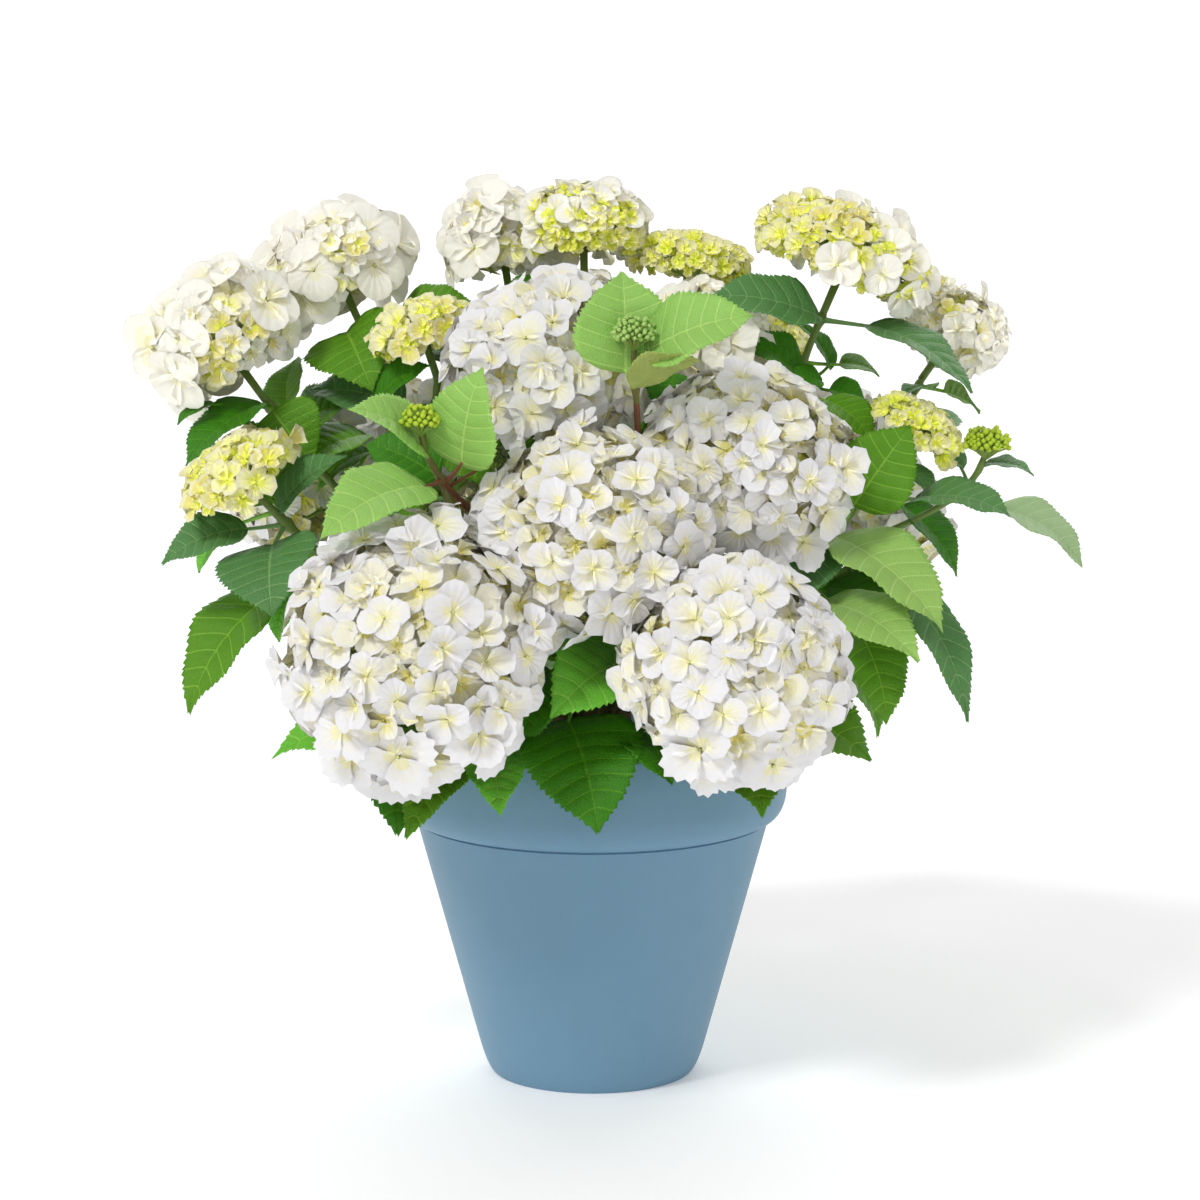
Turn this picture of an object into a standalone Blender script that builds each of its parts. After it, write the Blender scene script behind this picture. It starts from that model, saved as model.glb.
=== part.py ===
"""A white mophead hydrangea in its plastic pot.

Metres, +Z up, +Y to the back. The origin is the centre of the pot's flat underside. The pot holds
the compost, the compost carries a short woody stump, and canes rise from collars on the stump. Each
cane ends where a leafy shoot carries on, and each twig of a shoot ends under the stalk of a flower
head. Neighbouring pieces keep a small gap, so that every piece is a solid of its own.
"""

import math
import random
from dataclasses import dataclass

import bmesh
import bpy
from mathutils import Matrix, Vector
from mathutils.bvhtree import BVHTree

# ---------------------------------------------------------------------------
# Driving dimensions
# ---------------------------------------------------------------------------
GAP = 0.0003                # between neighbouring pieces
MERGE = 0.00001             # corners nearer than this are one
SEED = 11

POT_TOP = 0.235
RIM_RADIUS = 0.130
RIM_FOOT = 0.195            # height at which the rim begins to turn in
SEAM_HEIGHT = 0.1747        # height of the shadow line under the rim
SEAM_RADIUS = 0.118
FOOT_HEIGHT = 0.022         # height at which the tapered wall meets the rounded foot
FOOT_RADIUS = 0.0765
BASE_RADIUS = 0.067
WALL = 0.0035
FLOOR = 0.005
SEAM_LIP = 0.0012           # the rim's lower edge stands out this far at the seam
SEAM_DROP = 0.0006
POT_STEPS = 28

COMPOST_TOP = 0.205
COMPOST_EDGE = 0.002        # slope round its top
COMPOST_CLEAR = 0.0002      # from the pot's wall, beyond the gap
COMPOST_STEPS = 18

# Root flare and neck: height over the compost, radius, share by which its lobes stand out
STUMP_FLARE = ((0.0, 0.026, 0.16), (0.006, 0.021, 0.11), (0.014, 0.017, 0.04))
STUMP_KNOB_ANGLES = (-30.0, 5.0, 40.0, 68.0)    # heights of the knob's rings, degrees
STUMP_CENTRE = Vector((0.002, 0.003, 0.243))    # centre of the knobbly top
STUMP_KNOB_RADIUS = 0.024
STUMP_LOBES = 4
STUMP_SIDES = 12
COLLAR_REACH = 0.030        # from the knob's centre to a collar's flat end
COLLAR_RADIUS = 0.0052
COLLAR_SWELL = 1.15         # wider inside the stump than at its end
LEAN_POINT = Vector((0.0, 0.0, 0.150))          # flower heads face away from here

CANE_RADIUS = (0.0044, 0.0037)                  # at the collar, at the tip
STEM_RADIUS = (0.0036, 0.0027)                  # at the cane's tip, under the flower
STALK_RADIUS = (0.0026, 0.0032)                 # under the flower, inside it
STRAIGHT = 0.005            # straight run on each side of a joint between limbs
CANE_RISE = 0.25            # how strongly a cane's tip turns upwards
BUD_FACING = Vector((0.0, -0.2, 1.0))
LIMB_STEPS = 3

CORE_SHARE = 0.76           # a flower head's core, as a share of its outer size
FLORET_SHARE = 0.93         # where the florets' middles lie
FLORET_COVER = 0.40         # share of a head's surface that its florets cover
FLORET_LIMIT = math.radians(118.0)              # florets cover the head down to here
FLORET_TILT = 0.2
FLORET_DEPTH = 0.06         # depth of its hollow, as a share of its width
FLORET_FOOT = 0.80          # its stalk's end, as a share of the core's size
STALK_END = 0.3             # the head's own stalk ends this far under its middle, share of its height
SMALL_HEAD = 0.045          # a head under this radius has a coarser core
GOLDEN_ANGLE = math.pi * (3.0 - math.sqrt(5.0))

PETIOLE_RADIUS = 0.0017
LEAF_THICKNESS = 0.0022
LEAF_FOLD = 0.20            # rise of the leaf's edges, as a share of its half width
LEAF_BOW = 0.10             # rise of the leaf's middle, as a share of its length
LEAF_SECTIONS = ((0.36, 1.0), (0.74, 0.62))     # share along the blade, share of its width
LEAF_HEART = (0.4, 0.10, -0.05)                 # leaves face away from a line inside the plant
LEAF_FACING = (0.75, 0.66)                      # how much upwards, how much outwards
ROOT_BACK = 0.25            # a leafstalk leaves its stem this share of the blade behind it
ROOT_DROP = 0.008           # and this far below
RULE_STALK = (0.018, 0.028)                     # leafstalks of the leaves set by rule
RULE_DROOP = (-0.75, -0.15)
RULE_WIDTH = (0.62, 0.72)                       # share of their length
RULE_SPREAD = (0.80, 1.10)                      # share of the shoot's leaf length
# Rings of leaves round the sides and back: from azimuth, to azimuth, step (degrees), radius and
# height of the bases, radius and height of the tips at the back, width
RINGS = (
    (-14, 194, 16, 0.116, 0.262, 0.190, 0.198, 0.062),
    (-10, 190, 25, 0.112, 0.322, 0.186, 0.300, 0.058),
    (152, 204, 26, 0.122, 0.308, 0.176, 0.196, 0.064),
    (-16, 20, 18, 0.112, 0.300, 0.168, 0.198, 0.060),
)
SIDE_PULL = 0.018           # the tips at the sides stay this much nearer to the pot
SIDE_LIFT = 0.045           # and this much higher
CLEARANCE = 0.0008          # a leaf nearer than this to another piece is skipped


@dataclass(frozen=True)
class Shoot:
    """A cane and the leafy shoot that carries on from its tip."""

    name: str
    cane_tip: tuple
    collar: tuple           # azimuth and elevation of its collar on the stump, degrees
    pairs: int              # pairs of leaves that the growth rule sets on each twig
    leaf: float             # length of those leaves


@dataclass(frozen=True)
class Head:
    """A flower head; fork is where its twig leaves the shoot's main stem, 0 for the stem itself."""

    name: str
    shoot: str
    centre: tuple
    radius: float           # across the stalk
    height: float           # along the stalk, from the middle
    floret: float           # from tip to tip of a floret
    colour: str
    fork: float = 0.0
    stalk: float = 0.005    # bare stalk under the head
    bend: tuple = ()        # a point that its twig passes through


@dataclass(frozen=True)
class Bud:
    """A young bud at the end of a twig, fused to its shoot."""

    shoot: str
    centre: tuple
    radius: float
    height: float
    fork: float
    bend: tuple = ()


@dataclass(frozen=True)
class Leaf:
    """A blade from its base to its tip; the leafstalk joins it to the shoot's nearest stem."""

    shoot: str
    base: tuple
    tip: tuple
    width: float


SHOOTS = (
    Shoot("front_left", (-0.042, -0.062, 0.246), (236, 12), 0, 0.080),
    Shoot("front_right", (0.035, -0.070, 0.242), (297, 12), 0, 0.080),
    Shoot("middle", (0.000, -0.052, 0.292), (268, 44), 0, 0.080),
    Shoot("right", (0.050, -0.034, 0.300), (322, 46), 2, 0.070),
    Shoot("centre", (-0.014, -0.012, 0.325), (225, 72), 2, 0.070),
    Shoot("low_left", (-0.125, -0.030, 0.300), (200, 20), 1, 0.070),
    Shoot("left", (-0.130, 0.008, 0.335), (172, 40), 2, 0.075),
    Shoot("upper_left", (-0.090, 0.030, 0.370), (132, 58), 2, 0.075),
    Shoot("top", (-0.020, 0.036, 0.380), (95, 74), 2, 0.075),
    Shoot("top_right", (0.034, 0.026, 0.370), (40, 66), 2, 0.070),
    Shoot("upper_right", (0.100, 0.012, 0.350), (8, 42), 2, 0.070),
    Shoot("low_right", (0.105, -0.042, 0.288), (336, 18), 1, 0.070),
    Shoot("back_left", (-0.090, 0.070, 0.275), (148, 20), 2, 0.100),
    Shoot("back", (0.000, 0.095, 0.300), (92, 34), 2, 0.100),
    Shoot("back_right", (0.095, 0.070, 0.285), (40, 22), 2, 0.100),
)

HEADS = (
    Head("front_left", "front_left", (-0.110, -0.165, 0.315), 0.086, 0.079, 0.060, "white"),
    Head("front_right", "front_right", (0.087, -0.175, 0.306), 0.073, 0.066, 0.054, "white"),
    Head("middle", "middle", (0.003, -0.135, 0.383), 0.074, 0.066, 0.054, "white"),
    Head("right", "right", (0.100, -0.075, 0.420), 0.069, 0.062, 0.052, "white"),
    Head("centre", "centre", (-0.029, -0.040, 0.477), 0.066, 0.058, 0.050, "white"),
    Head("low_left", "low_left", (-0.228, -0.060, 0.411), 0.040, 0.024, 0.036, "lime"),
    Head("left", "left", (-0.246, 0.020, 0.491), 0.054, 0.045, 0.050, "white"),
    Head("upper_left", "upper_left", (-0.174, 0.080, 0.534), 0.051, 0.038, 0.048, "white"),
    Head("small_left", "upper_left", (-0.112, 0.004, 0.497), 0.032, 0.019, 0.030, "lime",
         fork=0.35),
    Head("top_white", "top", (-0.062, 0.090, 0.553), 0.040, 0.035, 0.044, "white",
         fork=0.30),
    Head("top", "top", (-0.006, 0.050, 0.562), 0.041, 0.030, 0.034, "lime"),
    Head("top_right", "top_right", (0.065, 0.060, 0.538), 0.040, 0.018, 0.032, "lime"),
    Head("inner", "top_right", (0.078, 0.005, 0.500), 0.034, 0.026, 0.034, "white",
         fork=0.25),
    Head("upper_right", "upper_right", (0.168, 0.020, 0.545), 0.060, 0.034, 0.042, "lime"),
    Head("far_right", "upper_right", (0.247, 0.095, 0.490), 0.034, 0.030, 0.038, "white",
         fork=0.15, bend=(0.190, 0.055, 0.405)),
    Head("small_right", "low_right", (0.213, -0.020, 0.436), 0.031, 0.014, 0.026, "lime",
         bend=(0.166, -0.045, 0.348)),
    Head("back_left_low", "back_left", (-0.195, 0.090, 0.385), 0.052, 0.046, 0.046, "white"),
    Head("back_left", "back_left", (-0.115, 0.190, 0.385), 0.070, 0.060, 0.052, "white",
         fork=0.20),
    Head("back", "back", (0.030, 0.225, 0.410), 0.074, 0.064, 0.055, "white"),
    Head("back_upper", "back", (-0.020, 0.150, 0.490), 0.048, 0.040, 0.044, "white",
         fork=0.25),
    Head("back_right", "back_right", (0.165, 0.175, 0.380), 0.068, 0.060, 0.052, "white"),
    Head("back_right_low", "back_right", (0.204, 0.082, 0.362), 0.040, 0.035, 0.040, "white",
         fork=0.20),
    Head("back_right_upper", "back_right", (0.105, 0.150, 0.480), 0.044, 0.036, 0.042, "lime",
         fork=0.35),
)

BUDS = (
    Bud("centre", (-0.107, -0.145, 0.455), 0.013, 0.011, 0.15, (-0.080, -0.098, 0.395)),
    Bud("centre", (0.026, -0.130, 0.508), 0.015, 0.012, 0.20, (0.026, -0.058, 0.410)),
    Bud("low_right", (0.258, -0.020, 0.426), 0.016, 0.012, 0.45),
)

LEAVES = (
    # in front, hanging over the rim
    Leaf("front_left", (-0.105, -0.092, 0.243), (-0.123, -0.170, 0.199), 0.057),
    Leaf("front_left", (-0.082, -0.108, 0.240), (-0.117, -0.176, 0.198), 0.036),
    Leaf("front_left", (-0.062, -0.112, 0.243), (-0.058, -0.168, 0.211), 0.036),
    Leaf("front_left", (-0.105, -0.086, 0.252), (-0.204, -0.121, 0.240), 0.044),
    Leaf("middle", (-0.016, -0.116, 0.262), (0.004, -0.176, 0.200), 0.068),
    Leaf("middle", (-0.026, -0.098, 0.291), (-0.046, -0.138, 0.246), 0.040),
    Leaf("middle", (0.030, -0.112, 0.300), (-0.025, -0.184, 0.277), 0.056),
    Leaf("middle", (0.012, -0.090, 0.296), (-0.030, -0.118, 0.302), 0.030),
    Leaf("front_right", (0.030, -0.108, 0.256), (0.050, -0.166, 0.228), 0.044),
    Leaf("front_right", (0.066, -0.118, 0.243), (0.082, -0.178, 0.222), 0.030),
    Leaf("front_right", (0.100, -0.098, 0.248), (0.106, -0.182, 0.211), 0.052),
    Leaf("front_right", (0.106, -0.084, 0.262), (0.178, -0.122, 0.236), 0.066),
    # the young shoots among the front heads
    Leaf("centre", (-0.104, -0.128, 0.436), (-0.149, -0.160, 0.466), 0.044),
    Leaf("centre", (-0.082, -0.136, 0.425), (-0.069, -0.150, 0.489), 0.052),
    Leaf("centre", (-0.102, -0.142, 0.415), (-0.166, -0.198, 0.390), 0.048),
    Leaf("centre", (-0.097, -0.090, 0.413), (-0.146, -0.074, 0.433), 0.036),
    Leaf("centre", (0.021, -0.120, 0.482), (0.019, -0.106, 0.546), 0.060),
    Leaf("centre", (0.032, -0.126, 0.496), (0.100, -0.148, 0.522), 0.048),
    # left side
    Leaf("low_left", (-0.208, -0.030, 0.388), (-0.228, 0.002, 0.440), 0.050),
    Leaf("low_left", (-0.205, -0.048, 0.386), (-0.159, -0.060, 0.424), 0.036),
    Leaf("low_left", (-0.222, -0.062, 0.377), (-0.278, -0.074, 0.356), 0.038),
    Leaf("low_left", (-0.236, -0.038, 0.376), (-0.258, -0.040, 0.344), 0.026),
    Leaf("low_left", (-0.206, -0.068, 0.368), (-0.203, -0.124, 0.330), 0.062),
    Leaf("low_left", (-0.205, -0.045, 0.334), (-0.262, -0.075, 0.257), 0.050),
    Leaf("low_left", (-0.196, -0.046, 0.334), (-0.205, -0.052, 0.300), 0.026),
    Leaf("left", (-0.217, 0.000, 0.452), (-0.266, -0.030, 0.413), 0.050),
    Leaf("left", (-0.212, 0.004, 0.446), (-0.184, -0.010, 0.412), 0.046),
    Leaf("left", (-0.205, 0.040, 0.444), (-0.198, 0.062, 0.476), 0.040),
    Leaf("left", (-0.250, 0.002, 0.452), (-0.273, -0.010, 0.438), 0.018),
    Leaf("upper_left", (-0.166, 0.056, 0.494), (-0.146, -0.005, 0.462), 0.058),
    Leaf("left", (-0.206, 0.052, 0.424), (-0.158, 0.030, 0.448), 0.052),
    Leaf("left", (-0.150, 0.026, 0.428), (-0.194, 0.002, 0.404), 0.056),
    Leaf("left", (-0.148, 0.034, 0.416), (-0.184, 0.020, 0.390), 0.038),
    Leaf("upper_left", (-0.144, -0.004, 0.452), (-0.106, -0.014, 0.478), 0.034),
    Leaf("upper_left", (-0.130, 0.066, 0.506), (-0.078, 0.052, 0.512), 0.034),
    # right side
    Leaf("centre", (0.054, -0.046, 0.476), (0.046, -0.062, 0.448), 0.030),
    Leaf("upper_right", (0.152, -0.014, 0.456), (0.183, -0.032, 0.428), 0.030),
    Leaf("low_right", (0.150, -0.072, 0.372), (0.122, -0.106, 0.332), 0.038),
    Leaf("upper_right", (0.150, -0.002, 0.508), (0.075, -0.030, 0.525), 0.036),
    Leaf("upper_right", (0.180, -0.006, 0.504), (0.246, -0.050, 0.463), 0.048),
    Leaf("upper_right", (0.160, 0.030, 0.470), (0.134, 0.032, 0.502), 0.024),
    Leaf("upper_right", (0.164, 0.034, 0.474), (0.192, 0.036, 0.466), 0.024),
    Leaf("upper_right", (0.152, -0.004, 0.466), (0.126, -0.014, 0.468), 0.018),
    Leaf("upper_right", (0.156, 0.004, 0.460), (0.181, 0.004, 0.449), 0.024),
    Leaf("upper_right", (0.232, 0.070, 0.454), (0.208, 0.056, 0.450), 0.026),
    Leaf("upper_right", (0.238, 0.076, 0.452), (0.262, 0.060, 0.438), 0.032),
    Leaf("upper_right", (0.140, 0.004, 0.468), (0.096, -0.014, 0.494), 0.040),
    Leaf("low_right", (0.168, -0.062, 0.390), (0.206, -0.052, 0.442), 0.048),
    Leaf("low_right", (0.206, -0.016, 0.412), (0.222, -0.032, 0.390), 0.024),
    Leaf("low_right", (0.246, 0.000, 0.408), (0.222, 0.012, 0.420), 0.022),
    Leaf("low_right", (0.258, -0.008, 0.412), (0.290, -0.020, 0.407), 0.024),
    Leaf("low_right", (0.208, -0.048, 0.394), (0.268, -0.084, 0.387), 0.040),
    Leaf("low_right", (0.262, -0.030, 0.386), (0.320, -0.052, 0.352), 0.040),
    Leaf("low_right", (0.205, 0.000, 0.384), (0.242, -0.012, 0.338), 0.036),
    Leaf("low_right", (0.157, -0.066, 0.372), (0.223, -0.122, 0.320), 0.058),
    Leaf("low_right", (0.200, -0.070, 0.340), (0.240, -0.112, 0.258), 0.038),
    Leaf("low_right", (0.148, -0.082, 0.332), (0.206, -0.142, 0.303), 0.046),
    Leaf("low_right", (0.168, -0.066, 0.318), (0.190, -0.102, 0.256), 0.044),
    Leaf("top", (-0.022, 0.058, 0.526), (-0.070, 0.030, 0.506), 0.028),
)

COLOURS = {
    "pot": ((0.150, 0.285, 0.405), 0.45),
    "compost": ((0.030, 0.020, 0.014), 0.95),
    "bark": ((0.150, 0.115, 0.070), 0.85),
    "leaf": ((0.070, 0.190, 0.035), 0.55),
    "white": ((0.860, 0.850, 0.800), 0.60),
    "lime": ((0.640, 0.700, 0.230), 0.60),
}


# ---------------------------------------------------------------------------
# Scene and materials
# ---------------------------------------------------------------------------
def clear_scene():
    """Remove every object that the file starts with."""
    for item in list(bpy.data.objects):
        bpy.data.objects.remove(item, do_unlink=True)


def make_collection(name):
    """Return a new collection under the scene's own."""
    group = bpy.data.collections.new(name)
    bpy.context.scene.collection.children.link(group)
    return group


def make_material(name):
    """Return a Principled material with the named colour and roughness."""
    colour, roughness = COLOURS[name]
    material = bpy.data.materials.new(name)
    material.use_nodes = True
    shader = material.node_tree.nodes["Principled BSDF"]
    shader.inputs["Base Color"].default_value = (*colour, 1.0)
    shader.inputs["Roughness"].default_value = roughness
    shader.inputs["Metallic"].default_value = 0.0
    material.diffuse_color = (*colour, 1.0)
    return material


def add_object(name, mesh, group, material=None):
    """Link a mesh to a collection as a named object."""
    item = bpy.data.objects.new(name, mesh)
    group.objects.link(item)
    if material is not None:
        mesh.materials.clear()
        mesh.materials.append(material)
    return item


def shade_round(item, angle=40.0):
    """Shade a piece smooth, with its corners over the angle kept sharp."""
    item.data.shade_smooth()
    item.data.set_sharp_from_angle(angle=math.radians(angle))


def mesh_from(work, name):
    """Turn a bmesh into a mesh and free it."""
    mesh = bpy.data.meshes.new(name)
    work.to_mesh(mesh)
    work.free()
    return mesh


# ---------------------------------------------------------------------------
# Pot, compost and stump
# ---------------------------------------------------------------------------
def arc(centre, radius, start, end, steps):
    """Return points along an arc in the profile plane, angles in degrees."""
    points = []
    for step in range(steps + 1):
        angle = math.radians(start + (end - start) * step / steps)
        points.append((centre[0] + radius * math.cos(angle), centre[1] + radius * math.sin(angle)))
    return points


def turned(name, profile, group, material, steps):
    """Turn a profile, given from its top down its outer side, about the Z axis."""
    mesh = bpy.data.meshes.new(name)
    points = [(radius, 0.0, height) for radius, height in profile]
    mesh.from_pydata(points, [(i, i + 1) for i in range(len(points) - 1)], [])
    item = add_object(name, mesh, group, material)
    screw = item.modifiers.new("Turn", "SCREW")
    screw.steps = steps
    screw.render_steps = steps
    screw.use_merge_vertices = True
    screw.merge_threshold = 0.00005
    screw.use_smooth_shade = True
    return item


def inner_wall(height):
    """Return the inner radius of the pot's straight wall at a height."""
    taper = (SEAM_RADIUS - FOOT_RADIUS) / (SEAM_HEIGHT - FOOT_HEIGHT)
    return SEAM_RADIUS - WALL - (SEAM_HEIGHT - height) * taper


def build_pot(group, material):
    """Pot: inner floor and wall, rounded lip, rim band turned in over a seam, tapered wall, foot."""
    lip = WALL / 2.0
    turn_in = RIM_FOOT - SEAM_HEIGHT
    profile = [(0.0, FLOOR), (inner_wall(FLOOR), FLOOR)]
    profile.append((inner_wall(SEAM_HEIGHT), SEAM_HEIGHT))
    profile.append((RIM_RADIUS - WALL, RIM_FOOT))
    profile += arc((RIM_RADIUS - lip, POT_TOP - lip), lip, 180.0, 0.0, 3)
    reach = RIM_RADIUS - SEAM_RADIUS - SEAM_LIP
    for step in range(5):
        angle = math.radians(90.0 * step / 4)
        profile.append((RIM_RADIUS - reach * (1.0 - math.cos(angle)), RIM_FOOT - turn_in * math.sin(angle)))
    profile.append((SEAM_RADIUS, SEAM_HEIGHT - SEAM_DROP))
    for step in range(5):
        angle = math.radians(90.0 * step / 4)
        profile.append((BASE_RADIUS + (FOOT_RADIUS - BASE_RADIUS) * math.cos(angle),
                        FOOT_HEIGHT * (1.0 - math.sin(angle))))
    profile.append((0.0, 0.0))
    return turned("pot", profile, group, material, POT_STEPS)


def build_compost(group, material):
    """Compost: fills the pot to its level, clear of the wall all round."""
    chord = (RIM_RADIUS - WALL) * (1.0 - math.cos(math.pi / POT_STEPS))     # lost to the pot's facets
    clear = GAP + chord + COMPOST_CLEAR
    low = FLOOR + GAP
    top_radius = RIM_RADIUS - WALL - clear
    profile = [(0.0, COMPOST_TOP), (top_radius - COMPOST_EDGE, COMPOST_TOP)]
    profile.append((top_radius, COMPOST_TOP - COMPOST_EDGE))
    profile.append((top_radius, RIM_FOOT + COMPOST_EDGE / 2.0))
    profile.append((inner_wall(SEAM_HEIGHT) - clear, SEAM_HEIGHT))
    profile.append((inner_wall(low) - clear, low))
    profile.append((0.0, low))
    return turned("compost", profile, group, material, COMPOST_STEPS)


def direction(azimuth, elevation):
    """Return the unit vector at an azimuth and elevation in degrees."""
    turn = math.radians(azimuth)
    rise = math.radians(elevation)
    return Vector((math.cos(rise) * math.cos(turn), math.cos(rise) * math.sin(turn), math.sin(rise)))


def stump_body():
    """Stump: rings with a lobed root flare at the foot, a neck, and a knobbly top."""
    foot = COMPOST_TOP + GAP
    rings = [(foot + rise, radius, lobe) for rise, radius, lobe in STUMP_FLARE]
    for angle in STUMP_KNOB_ANGLES:
        turn = math.radians(angle)
        rings.append((STUMP_CENTRE.z + STUMP_KNOB_RADIUS * math.sin(turn),
                      STUMP_KNOB_RADIUS * math.cos(turn), 0.0))
    work = bmesh.new()
    loops = []
    for height, radius, lobe in rings:
        share = (height - foot) / (STUMP_CENTRE.z - foot)
        middle = Vector((STUMP_CENTRE.x * share, STUMP_CENTRE.y * share, height))
        loop = []
        for side in range(STUMP_SIDES):
            turn = 2.0 * math.pi * side / STUMP_SIDES
            reach = radius * (1.0 + lobe * math.cos(STUMP_LOBES * turn))
            loop.append(work.verts.new(middle + Vector((math.cos(turn), math.sin(turn), 0.0)) * reach))
        loops.append(loop)
    for low, high in zip(loops, loops[1:]):
        for side in range(STUMP_SIDES):
            after = (side + 1) % STUMP_SIDES
            work.faces.new((low[side], low[after], high[after], high[side]))
    work.faces.new(loops[0][::-1])
    work.faces.new(loops[-1])
    bmesh.ops.recalc_face_normals(work, faces=work.faces)
    return mesh_from(work, "stump")


def rod_mesh(start, end, radii, segments):
    """A straight tapered rod from start to end, its radii given there."""
    along = end - start
    turn = along.to_track_quat("Z", "Y").to_matrix().to_4x4()
    work = bmesh.new()
    bmesh.ops.create_cone(work, cap_ends=True, segments=segments, radius1=radii[0], radius2=radii[1],
                          depth=along.length, matrix=Matrix.Translation((start + end) / 2.0) @ turn)
    return mesh_from(work, "rod")


def collar_mesh(azimuth, elevation):
    """A short collar on the stump, flat at its end, for a cane to rise from."""
    end = STUMP_CENTRE + direction(azimuth, elevation) * COLLAR_REACH
    return rod_mesh(STUMP_CENTRE, end, (COLLAR_RADIUS * COLLAR_SWELL, COLLAR_RADIUS), 6)


def build_stump(group, material):
    """Stump and its collars, joined."""
    pieces = [collar_mesh(*shoot.collar) for shoot in SHOOTS]
    item = fuse("trunk", stump_body(), pieces, group, material)
    shade_round(item)
    return item


# ---------------------------------------------------------------------------
# Joining
# ---------------------------------------------------------------------------
def islands(work):
    """Return the bmesh's separate shells as lists of faces."""
    left = set(work.faces)
    shells = []
    while left:
        shell = [left.pop()]
        front = list(shell)
        while front:
            for edge in front.pop().edges:
                for face in edge.link_faces:
                    if face in left:
                        left.remove(face)
                        shell.append(face)
                        front.append(face)
        shells.append(shell)
    return shells


def keep_largest(mesh):
    """Keep a mesh's largest shell: scraps and doubled slivers go, sealed hollows are filled."""
    work = bmesh.new()
    work.from_mesh(mesh)
    bmesh.ops.remove_doubles(work, verts=work.verts, dist=MERGE)
    bmesh.ops.dissolve_degenerate(work, edges=work.edges, dist=MERGE)
    bmesh.ops.triangulate(work, faces=work.faces)
    same = {}
    for face in work.faces:
        same.setdefault(frozenset(face.verts), []).append(face)
    doubled = [face for faces in same.values() if len(faces) > 1 for face in faces]
    bmesh.ops.delete(work, geom=doubled, context="FACES")
    shells = islands(work)
    largest = max(shells, key=len)
    scraps = [face for shell in shells if shell is not largest for face in shell]
    bmesh.ops.delete(work, geom=scraps, context="FACES")
    sound = all(edge.is_manifold for edge in work.edges) and all(vert.is_manifold for vert in work.verts)
    work.to_mesh(mesh)
    work.free()
    return sound


def union_of(item, helpers, solver):
    """Return the mesh of an object joined with a collection of helpers."""
    join = item.modifiers.new("Join", "BOOLEAN")
    join.operation = "UNION"
    join.operand_type = "COLLECTION"
    join.collection = helpers
    join.solver = solver
    if solver == "EXACT":
        join.use_self = True
    graph = bpy.context.evaluated_depsgraph_get()
    joined = bpy.data.meshes.new_from_object(item.evaluated_get(graph))
    item.modifiers.clear()
    return joined


def fuse(name, body, pieces, group, material):
    """Join pieces to a body with one Boolean union, and return the object."""
    item = add_object(name, body, group, material)
    helpers = bpy.data.collections.new(name + "_pieces")
    bpy.context.scene.collection.children.link(helpers)
    for mesh in pieces:
        add_object(name + "_piece", mesh, helpers)
    for solver in ("EXACT", "MANIFOLD"):
        joined = union_of(item, helpers, solver)
        sound = keep_largest(joined)
        if sound:
            break
        print(name, "isn't sound with", solver)
    item.data = joined
    joined.materials.clear()
    joined.materials.append(material)
    for piece in list(helpers.objects):
        bpy.data.objects.remove(piece, do_unlink=True)
    bpy.data.collections.remove(helpers)
    return item


# ---------------------------------------------------------------------------
# Limbs
# ---------------------------------------------------------------------------
def smooth_path(points, start, end, steps=LIMB_STEPS):
    """Return a smooth run through points that leaves along start and arrives along end."""
    tangents = []
    for index, point in enumerate(points):
        if index == 0:
            tangents.append(start * (points[1] - point).length)
        elif index == len(points) - 1:
            tangents.append(end * (point - points[index - 1]).length)
        else:
            tangents.append((points[index + 1] - points[index - 1]) / 2.0)
    run = [points[0]]
    spans = len(points) - 1
    for span in range(spans):
        first, last = points[span], points[span + 1]
        out, into = tangents[span], tangents[span + 1]
        count = max(3, round(steps / spans))
        for step in range(1, count + 1):
            s = step / count
            run.append(first * (2 * s ** 3 - 3 * s ** 2 + 1) + out * (s ** 3 - 2 * s ** 2 + s)
                       + last * (3 * s ** 2 - 2 * s ** 3) + into * (s ** 3 - s ** 2))
    return run


def limb_mesh(points, radii, sides=4):
    """A tapering tube along points, its radius going evenly between the two given."""
    curve = bpy.data.curves.new("limb", "CURVE")
    curve.dimensions = "3D"
    curve.bevel_depth = 1.0
    curve.bevel_resolution = (sides - 4) // 2
    curve.use_fill_caps = True
    spline = curve.splines.new("POLY")
    spline.points.add(len(points) - 1)
    lengths = [0.0]
    for before, after in zip(points, points[1:]):
        lengths.append(lengths[-1] + (after - before).length)
    for index, point in enumerate(points):
        share = lengths[index] / lengths[-1]
        spline.points[index].co = (*point, 1.0)
        spline.points[index].radius = radii[0] + (radii[1] - radii[0]) * share
    guide = bpy.data.objects.new("limb", curve)
    bpy.context.scene.collection.objects.link(guide)
    graph = bpy.context.evaluated_depsgraph_get()
    mesh = bpy.data.meshes.new_from_object(guide.evaluated_get(graph))
    bpy.data.objects.remove(guide, do_unlink=True)
    work = bmesh.new()
    work.from_mesh(mesh)
    bmesh.ops.remove_doubles(work, verts=work.verts, dist=0.00001)
    bmesh.ops.recalc_face_normals(work, faces=work.faces)
    work.to_mesh(mesh)
    work.free()
    return mesh


def head_axis(head):
    """Return the way a flower head faces."""
    return (Vector(head.centre) - LEAN_POINT).normalized()


def head_joint(head):
    """Return the point where a flower head's stalk meets its twig."""
    return Vector(head.centre) - head_axis(head) * (head.height + head.stalk)


@dataclass
class Frame:
    """The centre lines of one cane and its shoot."""

    shoot: Shoot
    cane: list
    stems: list             # one list of points for each twig, the main stem first


def joint_run(run, start=None, end=None):
    """Give a run straight ends along the joints' directions."""
    points = list(run)
    if start is not None:
        points.insert(1, points[0] + start * STRAIGHT)
    if end is not None:
        points.insert(len(points) - 1, points[-1] - end * STRAIGHT)
    return points


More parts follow.
